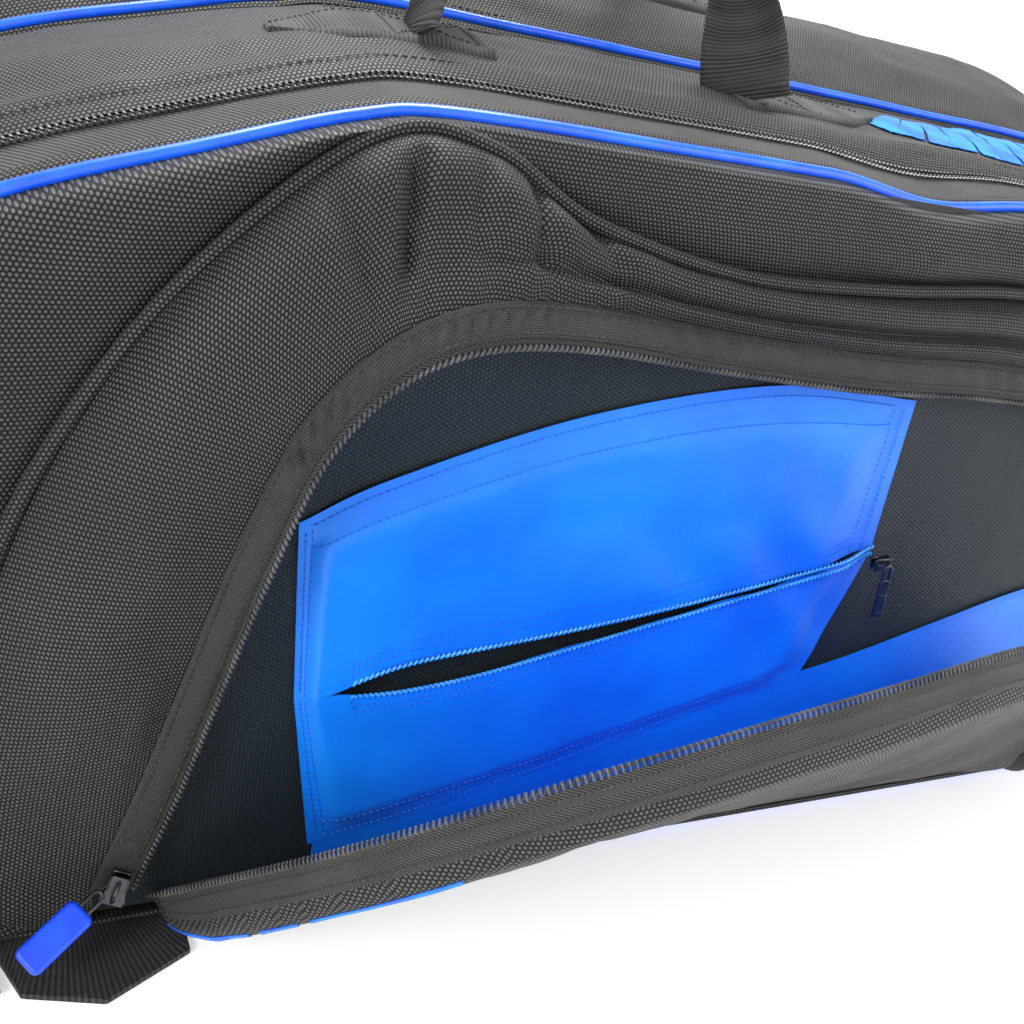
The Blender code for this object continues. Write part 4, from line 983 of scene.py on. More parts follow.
def build_upper_wall():
    """Wall above the pocket's mouth: padded, creased, and pleated where it turns."""
    per = 16
    root = spline([(x, SEAM_Y - 0.0004, z) for x, z in POCKET_SEAM], per)
    lip = spline(UPPER_LIP, per)
    mark = np.arange(len(root)) / per
    inward = unit(lip - root)
    grid, share = band_grid(root, lip - inward * FACING_W, 44)
    normal = out_from(grid)
    ends = smooth_step(np.minimum(mark, mark[-1] - mark), 0.0, 2.0)[:, None]
    left = (1.0 - smooth_step(mark, 4.8, 7.6))[:, None]
    plump = np.sin(np.pi * share ** 0.74)[None, :] ** 1.15 * 0.0125
    two_rolls = 0.0062 * hump(share)[None, :] ** 1.3 + 0.0030 * bump(share, 0.34, 0.26)[None, :] \
        - 0.0052 * bump(share, 0.66, 0.10)[None, :] + 0.0022 * bump(share, 0.84, 0.12)[None, :]
    swell = (plump * left + two_rolls * (1.0 - left)) * ends
    fan = bump(mark, APEX, 1.55)[:, None]
    pleat = np.cos(2.0 * np.pi * (mark[:, None] - APEX) / 0.72 + 2.2 * share[None, :])
    pleats = 0.0007 * pleat * fan * np.sin(np.pi * np.clip(share * 1.05, 0.0, 1.0))[None, :] ** 0.6
    hollow = -0.0085 * bump(mark, 5.35, 1.1)[:, None] * bump(share, 0.55, 0.5)[None, :]
    mask = off_ends(share, 0.15)[None, :] * ends
    broad = 0.0024 * folds(grid, (22.0, 9.0, 11.0), 51) * left \
        + 0.0011 * folds(grid, (9.0, 6.0, 16.0), 53) * (1 - left)
    waves = (broad + 0.0007 * folds(grid, (60.0, 30.0, 34.0), 52)) * mask
    creases = np.zeros(waves.shape)
    for start, slant, reach, depth in CREASES:
        off = mark[:, None] - start - slant * share[None, :]
        fade = smooth_step(share, 0.05, 0.30) * (1.0 - smooth_step(share, reach * 0.60, reach))
        creases += fade[None, :] * depth * (0.25 * bump(off, 0.26, 0.24) - bump(off, 0.0, 0.15))
    grid = grid + normal * (swell + pleats + hollow + waves + creases)[:, :, None]
    grid = np.concatenate([foot_rows(grid[0])[::-1], grid, foot_rows(grid[-1])])
    sheet_mesh("pocket_upper_cloth", grid, CLOTH_T, "near_lid", FABRIC, ("pocket_upper_wall",),
               held="gathered", facing=FRONT)
    build_upper_facing(lip, inward)


def foot_rows(row):
    """Rows that carry the upper wall's end down into the bottom seam."""
    rows = []
    for t in (0.35, 0.70, 1.0):
        foot = row.copy()
        foot[:, 1] = row[:, 1] * (1.0 - t) + (SEAM_Y - 0.0016) * t - 0.0020 * hump(t)
        foot[:, 2] = row[:, 2] * (1.0 - t) + 0.0092 * t
        rows.append(foot)
    return np.array(rows)


def build_upper_facing(lip, inward):
    """Stitched facing round the pocket's mouth, the edge of the zip tape, and the zip's upper teeth."""
    start = lip - inward * (FACING_W + 0.0012)
    end = lip - inward * 0.0032
    grid, share = band_grid(start, end, 16)
    normal = out_from(grid)
    run = lengths(lip)[:, None]
    edge = hump(share)[None, :]
    pucker = 0.00115 * np.sin(2 * np.pi * run / 0.0068 + 2.4 * share[None, :]
                              + 1.5 * noise_at(grid, 60.0, 61))
    calm = 0.35 + 0.65 * smooth_step(noise_at(grid, 22.0, 62), -0.2, 0.4)
    rise = 0.0011 + 0.0011 * edge ** 0.5 + pucker * edge * calm
    grid = grid + normal * rise[:, :, None]
    sheet_mesh("pocket_mouth_facing", grid, 0.0016, "near_lid", FACING, held="stretched",
               facing=FRONT)
    tape, share = band_grid(lip - inward * 0.0046, lip - inward * TAPE_GAP, 5)
    sheet_mesh("pocket_upper_tape_edge", tape, 0.0007, "near_lid", TAPE, ("pocket_upper_tape",), facing=FRONT)
    outward = out_from(band_grid(start, end, 4)[0])[:, -1]
    coil_mesh("pocket_upper_teeth", lip, inward, outward, "near_lid", COIL, ("pocket_upper_coil",),
              half_width=0.0014, half_height=0.0013, wire=0.00062, turn_steps=12, sides=6)
    for label, inset in (("outer", FACING_W - 0.0012), ("inner", 0.0046)):
        line = lip - inward * inset + outward * 0.0024
        keep = lip[:, 2] > 0.04
        stitch_mesh("pocket_facing_stitches_" + label, line[keep], "near_lid", THREAD,
                    lift=outward[keep], radius=BOLD_THREAD_R)


ROLL_W = 0.0145
LOWER_TAPE_W = 0.0125


def build_lower_wall():
    """Wall that hangs below the pocket's mouth: a belly, with a roll along its top."""
    per = 16
    lip = spline(LOWER_LIP, per)
    count = len(lip)
    mark = shares(count)
    x0, x1 = LOWER_LIP[0][0] + 0.006, LOWER_LIP[-1][0] - 0.006
    fold = points_at(x0 + (x1 - x0) * mark, SEAM_Y - 0.0010, 0.0105)
    upward = unit(lip - fold)
    taper = np.clip(np.minimum(mark, 1.0 - mark) / 0.075, 0.0, 1.0) ** 0.6
    tape_w = 0.0040 + (LOWER_TAPE_W - 0.0040) * taper
    hang = smooth_step(taper, 0.15, 0.65)[:, None]
    downward = unit(-upward * (1.0 - hang) + np.array([0.0, -0.33, -0.94]) * hang)
    wall_end = lip + downward * tape_w[:, None]
    cols = 52
    grid, share = band_grid(fold, wall_end, cols)
    normal = out_from(grid)
    full = 1.0 - smooth_step(mark, 0.12, 0.42)[:, None]
    belly = (0.0045 + 0.0085 * full) * hump(share)[None, :] ** 0.8
    length = np.linalg.norm(wall_end - fold, axis=1)[:, None]
    back = (1.0 - share)[None, :] * length
    roll = 0.0058 * np.sqrt(np.clip(1.0 - ((back - 0.5 * ROLL_W) / (0.5 * ROLL_W)) ** 2, 0.0, 1.0))
    notch = -0.0016 * bump(back, ROLL_W, 0.0035)
    mask = off_ends(share, 0.15)[None, :]
    waves = (0.0032 * folds(grid, (15.0, 8.0, 10.0), 71)
             + 0.0008 * folds(grid, (52.0, 30.0, 30.0), 72)) * mask
    grid = grid + normal * ((belly + roll + notch + waves) * taper[:, None])[:, :, None]
    sheet_mesh("pocket_lower_cloth", grid, CLOTH_T, "pocket_flap", FABRIC, ("pocket_lower_wall",),
               held="hung", facing=FLAP_OUT)
    outward = build_lower_lip(lip, -downward, tape_w)
    build_flap_lining(grid, normal, lip, -downward, outward)
    build_side_print(grid, normal, back)


def build_lower_lip(lip, upward, tape_w):
    """Zip tape, teeth and stitches along the hanging wall's top; gives the way they face."""
    outward = unit(np.cross(tangents(lip), upward))
    outward = outward * np.where(outward[:, 1:2] > 0.0, -1.0, 1.0)
    tape, _ = band_grid(lip - upward * (tape_w[:, None] + 0.0012), lip - upward * TAPE_GAP, 14)
    ripple = 0.0004 * folds(tape, 50.0, 75)
    tape = tape + outward[:, None] * (0.0002 + ripple)[:, :, None]
    keep = slice(3, -3)
    sheet_mesh("pocket_lower_tape_cloth", tape[keep], TAPE_T, "pocket_flap", TAPE, ("pocket_lower_tape",),
               facing=FLAP_OUT)
    coil_mesh("pocket_lower_teeth", lip, upward, outward, "pocket_flap", COIL,
              ("pocket_lower_coil",), half_width=0.0018, half_height=0.0012, wire=0.00050,
              turn_steps=12, sides=6)
    line = lip - upward * 0.0042 + outward * 0.0010
    stitch_mesh("pocket_tape_stitches", line[keep], "pocket_flap", THREAD, lift=outward[keep],
                pitch=0.0023, length=0.0019)
    line = lip - upward * (tape_w - 0.0012)[:, None] + outward * 0.0006
    stitch_mesh("pocket_roll_stitches", line[keep], "pocket_flap", THREAD, lift=outward[keep])
    return outward


LINING_START_X = -0.132


def build_flap_lining(grid, normal, lip, upward, outward):
    """Blue lining on the inside of the hanging wall, and the dark end of it beside the slider."""
    share = shares(grid.shape[1])
    inside = grid - normal * (0.0021 + 0.0013 * smooth_step(share, 0.05, 0.30))[None, :, None]
    loose = np.abs(0.0012 * folds(inside, (24.0, 16.0, 18.0), 77)) * hump(share)[None, :] ** 0.5
    inside = (inside - normal * loose[:, :, None])[:, 3:-3]
    hidden = [grid[:, -1] - outward * 0.0030, lip - upward * 0.0032 - outward * 0.0024]
    inside = np.concatenate([inside, np.stack(hidden, axis=1)], axis=1)
    start = int(np.argmax(lip[:, 0] > LINING_START_X))
    for label, rows, finish, nodes in (
            ("blue", slice(start, -24), NYLON, ("pocket_flap_lining",)),
            ("dark", slice(10, start + 1), LINING, ())):
        sheet_mesh("pocket_flap_lining_" + label, inside[rows], LINING_T, "pocket_flap", finish, nodes,
                   held="hung", facing=-FLAP_OUT)


PRINT_BARS = [(-0.196, -0.171), (-0.1695, -0.160), (-0.1585, -0.122)]


def build_side_print(grid, normal, back):
    """Generic printed stripe on the hanging wall, in three bars."""
    for number, (low, high) in enumerate(PRINT_BARS):
        rows = np.where((grid[:, -8, 0] > low) & (grid[:, -8, 0] < high))[0]
        band = []
        for r in rows:
            width = 0.010 * np.clip((grid[r, -8, 0] - PRINT_BARS[0][0]) / 0.02, 0.15, 1.0)
            marks = np.linspace(0.36 * ROLL_W, 0.36 * ROLL_W + width, 6)
            order = np.argsort(back[r])
            face = grid[r] + normal[r] * 0.0005
            band.append(sample(face[order], back[r][order], marks))
        sheet_mesh("side_stripe_%d" % number, np.array(band), 0.00035, "pocket_flap", PRINT, facing=FLAP_OUT)


def build_back_lining():
    """Mesh lining of the pocket's back wall, loose and slightly folded."""
    seam = spline(POCKET_SEAM, 14)
    rows = []
    for z in np.linspace(0.0105, 0.300, 60):
        x0, x1 = chord(seam, z)
        rows.append(points_at(np.linspace(x0 + 0.001, x1 - 0.001, 110), -0.1196, z))
    grid = np.array(rows)
    fall = edge_fall(grid, 0.05)
    loose = np.abs(folds(grid, (16.0, 1.0, 6.0), 81)) * 0.0022 \
        + np.abs(folds(grid, (44.0, 1.0, 16.0), 82)) * 0.0005
    behind_pocket = 1.0 - 0.85 * smooth_step(0.14 - np.abs(grid[:, :, 0] + 0.01), 0.0, 0.02) \
        * (1.0 - smooth_step(grid[:, :, 2], 0.20, 0.24))
    turn_x, turn_z = np.array(LINING_TURN_UP).T
    satin_top = np.interp(grid[:, :, 0], turn_x, turn_z)
    behind_satin = 1.0 - smooth_step(satin_top + 0.012 - grid[:, :, 2], 0.0, 0.008)
    grid[:, :, 1] -= loose * fall * np.minimum(behind_pocket, behind_satin)
    sheet_mesh("pocket_back_cloth", grid, 0.0008, "near_lid", LINING, ("pocket_back_lining",), held="hung",
               facing=FRONT)


def build_turn_up():
    """Satin bottom of the pocket, carried up on to its back wall."""
    top = resample(spline([(x, -0.1214, z) for x, z in LINING_TURN_UP], 12), 0.0035)
    low = top.copy()
    low[:, 2] = 0.0150
    grid, share = band_grid(low, top, 30)
    grid[:, :, 1] -= np.abs(0.0009 * folds(grid, (12.0, 1.0, 34.0), 95)) \
        * hump(share)[None, :] ** 0.5
    sheet_mesh("pocket_floor_satin", grid, LINING_T, "near_lid", NYLON, held="laid",
               facing=FRONT)
    stitch_mesh("pocket_floor_stitches", top[2:-2] - np.array([0.0, 0.0006, 0.0022]), "near_lid",
                BLUE_THREAD, lift=FRONT, radius=FINE_THREAD_R)


# ---- inner zip pocket -----------------------------------------------------------------------------
INNER_STAND = 0.0076
LINING_FACE = -0.1206
GAPE = [0.0, 0.0, 0.0, 0.0050, 0.0062, 0.0050, 0.0034, 0.0021, 0.0014, 0.0010, 0.0005]
ZIP_START = 0.225          # share of the pocket's width where its zip begins
HEM_W = 0.0075


def inner_half(part, edge_points, sign, zip_line, gape):
    """One half of the inner pocket: a satin sheet from its sewn edge to its side of the zip."""
    edge = spline([(x, LINING_FACE - 0.0010, z) for x, z in edge_points], 26)
    count = len(edge)
    mark = shares(count)
    opened = smooth_step(mark, ZIP_START - 0.02, ZIP_START + 0.03)
    lip = zip_line + UP * (sign * (gape + 0.0007 * opened))[:, None]
    grid, share = band_grid(edge, lip, 46)
    side = off_ends(mark, 0.10)[:, None]
    stand = smooth_step(share, 0.0, 0.22)[None, :] * side
    grid[:, :, 1] = LINING_FACE - 0.0010 - (INNER_STAND - 0.0010) * stand
    run_in = share[None, :] * np.linalg.norm(lip - edge, axis=1)[:, None]
    run_side = np.minimum(mark, 1.0 - mark)[:, None] * lengths(edge)[-1]
    hem = 0.0007 * (1.0 - smooth_step(np.minimum(run_in, run_side), HEM_W - 0.001, HEM_W + 0.001))
    drag = 0.0017 * folds(grid, (10.0, 1.0, 26.0), 91) + 0.0007 * folds(grid, (42.0, 1.0, 30.0), 92)
    slack = 0.0012 * np.sin(2 * np.pi * (grid[:, :, 0] * 0.8 + grid[:, :, 2]) / 0.045) \
        * smooth_step(noise_at(grid, 14.0, 93), 0.0, 0.6)
    calm = smooth_step(share, 0.0, 0.10)[None, :] * (0.35 + 0.65 * side)
    grid[:, :, 1] -= hem + (drag + slack) * calm
    grid[:, :, 1] = np.clip(grid[:, :, 1], LINING_FACE - 0.0125, LINING_FACE - 0.0004)
    sheet_mesh("inner_pocket_%s_cloth" % part, grid, LINING_T, "near_lid", NYLON, ("inner_pocket_" + part,),
               held="stretched", facing=FRONT)
    return grid


def build_inner_pocket():
    """Blue pocket on the back wall: its two halves, the zip left ajar, and its stitches."""
    flat = spline([(x, LINING_FACE - INNER_STAND, z) for x, z in INNER_ZIP], 26)
    count = len(flat)
    mark = shares(count)
    close = off_ends(mark, 0.06)
    flat[:, 1] = LINING_FACE - 0.0014 - (INNER_STAND - 0.0014) * close
    gape = np.interp(mark, shares(len(GAPE)), GAPE)
    gape = np.convolve(np.pad(gape, 8, mode="edge"), np.ones(17) / 17, mode="valid")
    thread_lines = []
    for part, points, sign in (("upper", INNER_TOP, 1.0), ("lower", INNER_BOTTOM, -1.0)):
        grid = inner_half(part, points, sign, flat, gape)
        begun = mark > ZIP_START
        coil = flat + UP * (sign * (gape + 0.0012))[:, None] + FRONT * 0.0016
        coil_mesh("inner_%s_teeth" % part, coil[begun], -sign * UP, FRONT, "near_lid", BLUE_COIL,
                  ("inner_zip_%s_coil" % part,), half_width=0.0012, half_height=0.0010, wire=0.00058,
                  turn_steps=10, sides=5, phase=0.0 if sign > 0 else np.pi)
        for column in (2, 7):
            thread_lines.append(("%s_edge_%d" % (part, column), grid[3:-3, column]))
            thread_lines.append(("%s_left_%d" % (part, column), grid[1 + column // 2, 2:]))
            thread_lines.append(("%s_right_%d" % (part, column), grid[-2 - column // 2, 2:]))
        first = int(ZIP_START * count)
        for column in (-4, -6):
            thread_lines.append(("%s_zip_%d" % (part, -column), grid[first:-4, column]))
        thread_lines.append((part + "_tack", grid[first, -8:]))
    for label, line in thread_lines:
        stitch_mesh("inner_stitches_" + label, line + FRONT * 0.0003, "near_lid", BLUE_THREAD,
                    lift=FRONT, pitch=0.0029, length=0.0023, radius=FINE_THREAD_R)


# ---- hardware -------------------------------------------------------------------------------------
CORNER_STEPS = 6
ROD_SIDES = 10


def rounded_outline(length, width, radius, waist):
    """Outline of a tab from x=0 to length with round corners, drawn in at its middle by waist."""
    points = []
    for cx, cy, start in ((length - radius, width / 2 - radius, 0.0), (radius, width / 2 - radius, 90.0),
                          (radius, radius - width / 2, 180.0), (length - radius, radius - width / 2, 270.0)):
        for k in range(CORNER_STEPS + 1):
            angle = np.radians(start + 90.0 * k / CORNER_STEPS)
            points.append((cx + radius * np.cos(angle), cy + radius * np.sin(angle)))
        if start in (0.0, 180.0) and waist:
            sign = 1.0 if start == 0.0 else -1.0
            for share in (0.35, 0.5, 0.65):
                x = length * (1.0 - share) if start == 0.0 else length * share
                points.append((x, sign * (width / 2 - waist * hump(share))))
    return points


def add_slab(bm, outline, low, high, matrix, bevel):
    """Add an extruded outline with bevelled rims to a bmesh."""
    part = bmesh.new()
    ring = [part.verts.new((x, y, low)) for x, y in outline]
    face = part.faces.new(ring)
    grown = bmesh.ops.extrude_face_region(part, geom=[face])
    moved = [g for g in grown["geom"] if isinstance(g, bmesh.types.BMVert)]
    bmesh.ops.translate(part, vec=(0, 0, high - low), verts=moved)
    bmesh.ops.recalc_face_normals(part, faces=part.faces)
    if bevel:
        rims = [e for e in part.edges if abs(e.verts[0].co.z - e.verts[1].co.z) < 1e-9]
        bmesh.ops.bevel(part, geom=rims, offset=bevel, segments=3, affect="EDGES", profile=0.5)
    bmesh.ops.transform(part, matrix=matrix, verts=part.verts)
    temp = bpy.data.meshes.new("slab_part")
    part.to_mesh(temp)
    part.free()
    bm.from_mesh(temp)
    bpy.data.meshes.remove(temp)


def add_rod(bm, path, radius):
    """Add a round bar along a path to a bmesh, with capped ends."""
    path = np.array(path, float)
    along = tangents(path)
    side = unit(np.cross(along, np.array([0.31, 0.11, 0.94])))
    top = np.cross(side, along)
    rings = []
    for k in range(len(path)):
        ring = []
        for s in range(ROD_SIDES):
            angle = 2 * np.pi * s / ROD_SIDES
            ring.append(bm.verts.new(path[k] + radius * (np.cos(angle) * side[k] + np.sin(angle) * top[k])))
        rings.append(ring)
    for a, b in zip(rings, rings[1:]):
        for s in range(ROD_SIDES):
            t = (s + 1) % ROD_SIDES
            bm.faces.new((a[s], a[t], b[t], b[s]))
    bm.faces.new(rings[0])
    bm.faces.new(rings[-1])


def bmesh_piece(name, bm, body, finish, replaced=()):
    """One object from a bmesh, which is used up."""
    bmesh.ops.recalc_face_normals(bm, faces=bm.faces)
    mesh = bpy.data.meshes.new(name)
    bm.to_mesh(mesh)
    bm.free()
    mesh.shade_smooth()
    mesh.set_sharp_from_angle(angle=np.radians(35.0))
    for face in mesh.polygons:
        face.use_smooth = len(face.vertices) <= 4
    obj = bpy.data.objects.new(name, mesh)
    bpy.context.scene.collection.objects.link(obj)
    return finish_piece(obj, body, finish, replaced)


def basis(place, x_axis, z_axis):
    """Matrix that puts a part at a place with its X and Z axes along two directions."""
    x = Vector(x_axis).normalized()
    z = Vector(z_axis)
    z = (z - x * z.dot(x)).normalized()
    y = z.cross(x)
    return Matrix.Translation(place) @ Matrix((x, y, z)).transposed().to_4x4()


def slider_piece(name, node, body, place, forward, outward, length=0.0125, width=0.0085, height=0.0046):
    """Zip slider: two shaped plates joined by a nose, with an arched bridge for the pull."""
    bm = bmesh.new()
    half = width / 2
    outline = [(-length / 2, -half * 0.62), (-length * 0.1, -half * 0.68), (length * 0.28, -half),
               (length / 2, -half * 0.92), (length / 2, half * 0.92), (length * 0.28, half),
               (-length * 0.1, half * 0.68), (-length / 2, half * 0.62)]
    matrix = basis(place, forward, outward)
    add_slab(bm, outline, height * 0.20, height * 0.48, matrix, 0.0004)
    add_slab(bm, outline, -height * 0.48, -height * 0.20, matrix, 0.0004)
    nose = [(x * 0.20 + length * 0.34, y * 0.26) for x, y in outline]
    add_slab(bm, nose, -height * 0.34, height * 0.34, matrix, 0.0)
    for s in (-1, 1):
        rail = [(-length * 0.42, s * half * 0.52), (length * 0.1, s * half * 0.60),
                (length * 0.1, s * half * 0.80), (-length * 0.42, s * half * 0.70)][::s]
        add_slab(bm, rail, -height * 0.36, height * 0.36, matrix, 0.0)
    arch = [(-length * 0.34 + length * 0.68 * t, 0.0, height * (0.42 + 0.62 * hump(t) ** 0.6))
            for t in shares(13)]
    add_rod(bm, [tuple(matrix @ Vector(p)) for p in arch], 0.00085)
    return bmesh_piece(name, bm, body, METAL, (node,))


def pull_piece(name, node, body, hinge, along, face, length, width, thick, link=0.0085, finish=RUBBER,
               corner=0.34, waist=0.07, bevel=0.26, ridged=True):
    """Zip pull: a wire link through the slider's bridge and a moulded tab with grip ridges."""
    matrix = basis(hinge, along, face)
    wire = bmesh.new()
    arc = [0.5 * np.pi + np.pi * k / 12 for k in range(13)]
    loop = [(link + 0.004, 0.0021, 0.0)] + [(0.0021 * np.cos(a), 0.0021 * np.sin(a), 0.0) for a in arc]
    loop += [(link + 0.004, -0.0021, 0.0)]
    add_rod(wire, [tuple(matrix @ Vector(p)) for p in loop], 0.00075)
    bmesh_piece(name + "_link", wire, body, METAL)
    bm = bmesh.new()
    shape = rounded_outline(length - link, width, width * corner, waist=width * waist)
    shape = [(x + link, y) for x, y in shape]
    add_slab(bm, shape, -thick / 2, thick / 2, matrix, thick * bevel)
    ridges = max(2, int((length - link) / 0.0042) - 2) if ridged else 0
    for k in range(ridges):
        x = link + (length - link) * (0.42 + 0.46 * k / max(1, ridges - 1))
        for s in (-1, 1):
            low, high = sorted((s * thick * 0.40, s * (thick * 0.5 + 0.00045)))
            bar = [(x - 0.0006, -width * 0.28), (x + 0.0006, -width * 0.28), (x + 0.0006, width * 0.28),
                   (x - 0.0006, width * 0.28)]
            add_slab(bm, bar, low, high, matrix, 0.00015)
    return bmesh_piece(name, bm, body, finish, (node,))


def box_middle(node):
    """Middle of a node's box in the frame."""
    low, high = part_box(node)
    return np.array((low + high) * 0.5)


def joint_place(name):
    """A point on a joint's axis."""
    joint = next(j for j in frame["record"]["behaviour"]["joints"] if j["name"] == name)
    return np.array(joint["pos_m"], float)


def build_hardware():
    """Slider and pull of every zip."""
    for prefix, _ in SIDES:
        middle = box_middle(prefix + "_zip_slider")
        ground = top_height(middle[0], middle[1])
        place = (middle[0], middle[1], max(ground + 0.0018, middle[2] - 0.0024))
        slider_piece(prefix + "_slider_body", prefix + "_zip_slider", prefix + "_slider", place, (-1, 0, 0),
                     (0, 0, 1))
        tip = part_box(prefix + "_zip_pull")[1]
        hinge = joint_place(prefix + "_zip_pull_hinge")
        pull_piece(prefix + "_pull_tab", prefix + "_zip_pull", prefix + "_pull", hinge,
                   (1, 0, 0.06), (0, 0, 1), tip[0] - hinge[0], 0.0092, 0.0030)
    build_pocket_hardware()
    middle = box_middle("inner_zip_slider")
    slope = np.array(INNER_ZIP[-1]) - np.array(INNER_ZIP[-2])
    slider_piece("inner_slider_body", "inner_zip_slider", "inner_slider",
                 middle + np.array([0.0, 0.0016, 0.0]), (-slope[0], 0.0, -slope[1]), (0, -1, 0),
                 0.0105, 0.0066, 0.0040)
    hinge = joint_place("inner_zip_pull_hinge")
    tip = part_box("inner_zip_pull")[0]
    pull_piece("inner_pull_tab", "inner_zip_pull", "inner_pull", hinge, (0.05, -0.05, -1.0), (0, -1, 0),
               hinge[2] - tip[2], 0.0062, 0.0016, link=0.0050, finish=METAL)
    middle = box_middle("far_pocket_slider")
    slider_piece("far_pocket_slider_body", "far_pocket_slider", "far_pocket_slider",
                 middle + np.array([0.0, -0.0008, 0.0]), (-1, 0, 0), (0, 1, 0))
    hinge = joint_place("far_pocket_pull_hinge")
    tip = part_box("far_pocket_pull")[0]
    pull_piece("far_pocket_pull_tab", "far_pocket_pull", "far_pocket_pull", hinge, (0, 0.04, -1), (0, 1, 0),
               hinge[2] - tip[2], 0.0092, 0.0028)


PULL_TIP = (-0.2470, -0.1520, 0.0205)


def build_pocket_hardware():
    """The side pocket's slider, and its thicker pull that hangs out to the left."""
    middle = box_middle("pocket_zip_slider")
    slider_piece("pocket_slider_body", "pocket_zip_slider", "near_lid", middle, (-0.30, 0.0, -1.0),
                 (-0.25, -1.0, 0.15), 0.0130, 0.0098, 0.0052)
    hinge = joint_place("pocket_zip_pull_hinge")
    along = np.array(PULL_TIP) - hinge
    pull_piece("pocket_pull_tab", "pocket_zip_pull", "pocket_pull", hinge, along, (-0.45, -1.0, 0.75),
               float(np.linalg.norm(along)), 0.0118, 0.0050, link=0.0060, corner=0.22, waist=0.0, bevel=0.30,
               ridged=False)


# ---- handles and webbing --------------------------------------------------------------------------
HANDLE_X = (-0.100, 0.050)
NEAR_HANDLE_Y = -0.050
FAR_HANDLE_Y = 0.060
HANDLE_LEAN = {"near": 0.034, "far": -0.044}
PATCH_REACH = 0.066


def handle_route(prefix, y_base, top):
    """Middle line, width direction and cupping of a handle loop from its left fold to its right fold."""
    x0, x1 = HANDLE_X
    lean = HANDLE_LEAN[prefix]
    outer = y_base + (-0.010 if prefix == "near" else 0.006)
    z0, z1 = top_height(x0, outer) + 0.0030, top_height(x1, outer) + 0.0030
    side = -1.0 if prefix == "near" else 1.0
    stops = [
        (x0 - 0.014, outer, z0), (x0 - 0.012, outer + 0.10 * lean, z0 + 0.012),
        (x0 - 0.005, y_base + 0.35 * lean, z0 + 0.045), (x0 + 0.014, y_base + 0.80 * lean, top - 0.030),
        (x0 + 0.038, y_base + lean, top - 0.0075), (0.5 * (x0 + x1), y_base + lean, top),
        (x1 - 0.038, y_base + lean, top - 0.0075), (x1 - 0.014, y_base + 0.80 * lean, top - 0.030),
        (x1 - 0.009, y_base + 0.35 * lean, z1 + 0.045), (x1 - 0.013, outer + 0.10 * lean, z1 + 0.012),
        (x1 - 0.011, outer, z1)]
    path = spline(stops, 12)
    share = shares(len(path))
    rise = np.clip((path[:, 2] - z0) / (top - z0), 0.0, 1.0)
    twist = np.radians(-4.0) * (1.0 - share) + np.radians(44.0) * share
    twist = twist * (1.0 - smooth_step(rise, 0.25, 0.90))
    width_dir = points_at(side * np.sin(twist), np.cos(twist), 0.0)
    cup = 0.30 + 2.6 * smooth_step(rise, 0.03, 0.36)
    return path, width_dir, cup


def build_handles():
    """Both carry handles with their sewn ends, and the grip."""
    for prefix, y_base in (("near", NEAR_HANDLE_Y), ("far", FAR_HANDLE_Y)):
        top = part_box(prefix + "_handle")[1][2] - 0.0035
        path, width_dir, cup = handle_route(prefix, y_base, top)
        webbing_mesh(prefix + "_handle_webbing", path, width_dir, WEBBING_W, prefix + "_handle",
                     (prefix + "_handle",), curl=cup)
        for label, x_fold, direction in (("left", HANDLE_X[0], -1.0), ("right", HANDLE_X[1], 1.0)):
            build_patch(prefix, label, x_fold, direction, y_base)
    build_grip()


def build_patch(prefix, label, x_fold, direction, y_base):
    """Sewn end of a handle: flat webbing with a pointed tip, stitched down along its edges and across."""
    xs = np.linspace(-0.016, PATCH_REACH, 150)
    widths = WEBBING_W * (1.0 - 0.80 * smooth_step(xs, 0.038, PATCH_REACH + 0.006))
    share = np.linspace(-0.5, 0.5, 15)
    thirds = (-0.5, 0.0, 0.5)
    rows = []
    for x, w in zip(x_fold + direction * xs, widths):
        heights = [top_height(x, y_base + s * WEBBING_W) for s in thirds]
        rows.append([(x, y_base + s * w, np.interp(s * w / WEBBING_W, thirds, heights)) for s in share])
    grid = np.array(rows)
    wave = np.cos(2 * np.pi * xs / RIB_PITCH)[:, None] * 0.0002
    edge = smooth_step(0.5 - np.abs(share), 0.0, 0.06)[None, :]
    near_edge = np.exp(-((share + 0.46) / 0.055) ** 2)[None, :] * (1.0 + 0.35 * np.sin(xs / 0.0052))[:, None]
    front, behind = grid.copy(), grid.copy()
    front[:, :, 2] += 0.0026 + 0.0019 * edge + wave + 0.0020 * near_edge
    behind[:, :, 2] += 0.0014
    name = "%s_handle_patch_%s" % (prefix, label)
    sheet_mesh(name + "_webbing", front, 0.0, "bag", WEBBING, (name,), both=behind, sharp=RIB_SHARP,
               facing=UP)
    lines = [line + UP * 0.00018 for line in (front[4:, 2], front[4:, -3], front[8, 2:-2], front[70, 2:-2])]
    diagonal = np.linspace(0, 62, 13).astype(int) + 8
    across = np.linspace(2, 12, 13).round().astype(int)
    lines += [front[diagonal, steps] + UP * 0.00027 for steps in (across, across[::-1])]
    for number, line in enumerate(lines):
        stitch_mesh("%s_stitches_%d" % (name, number), line, "bag", STRAP_THREAD, pitch=0.0030,
                    length=0.0024, radius=BOLD_THREAD_R)


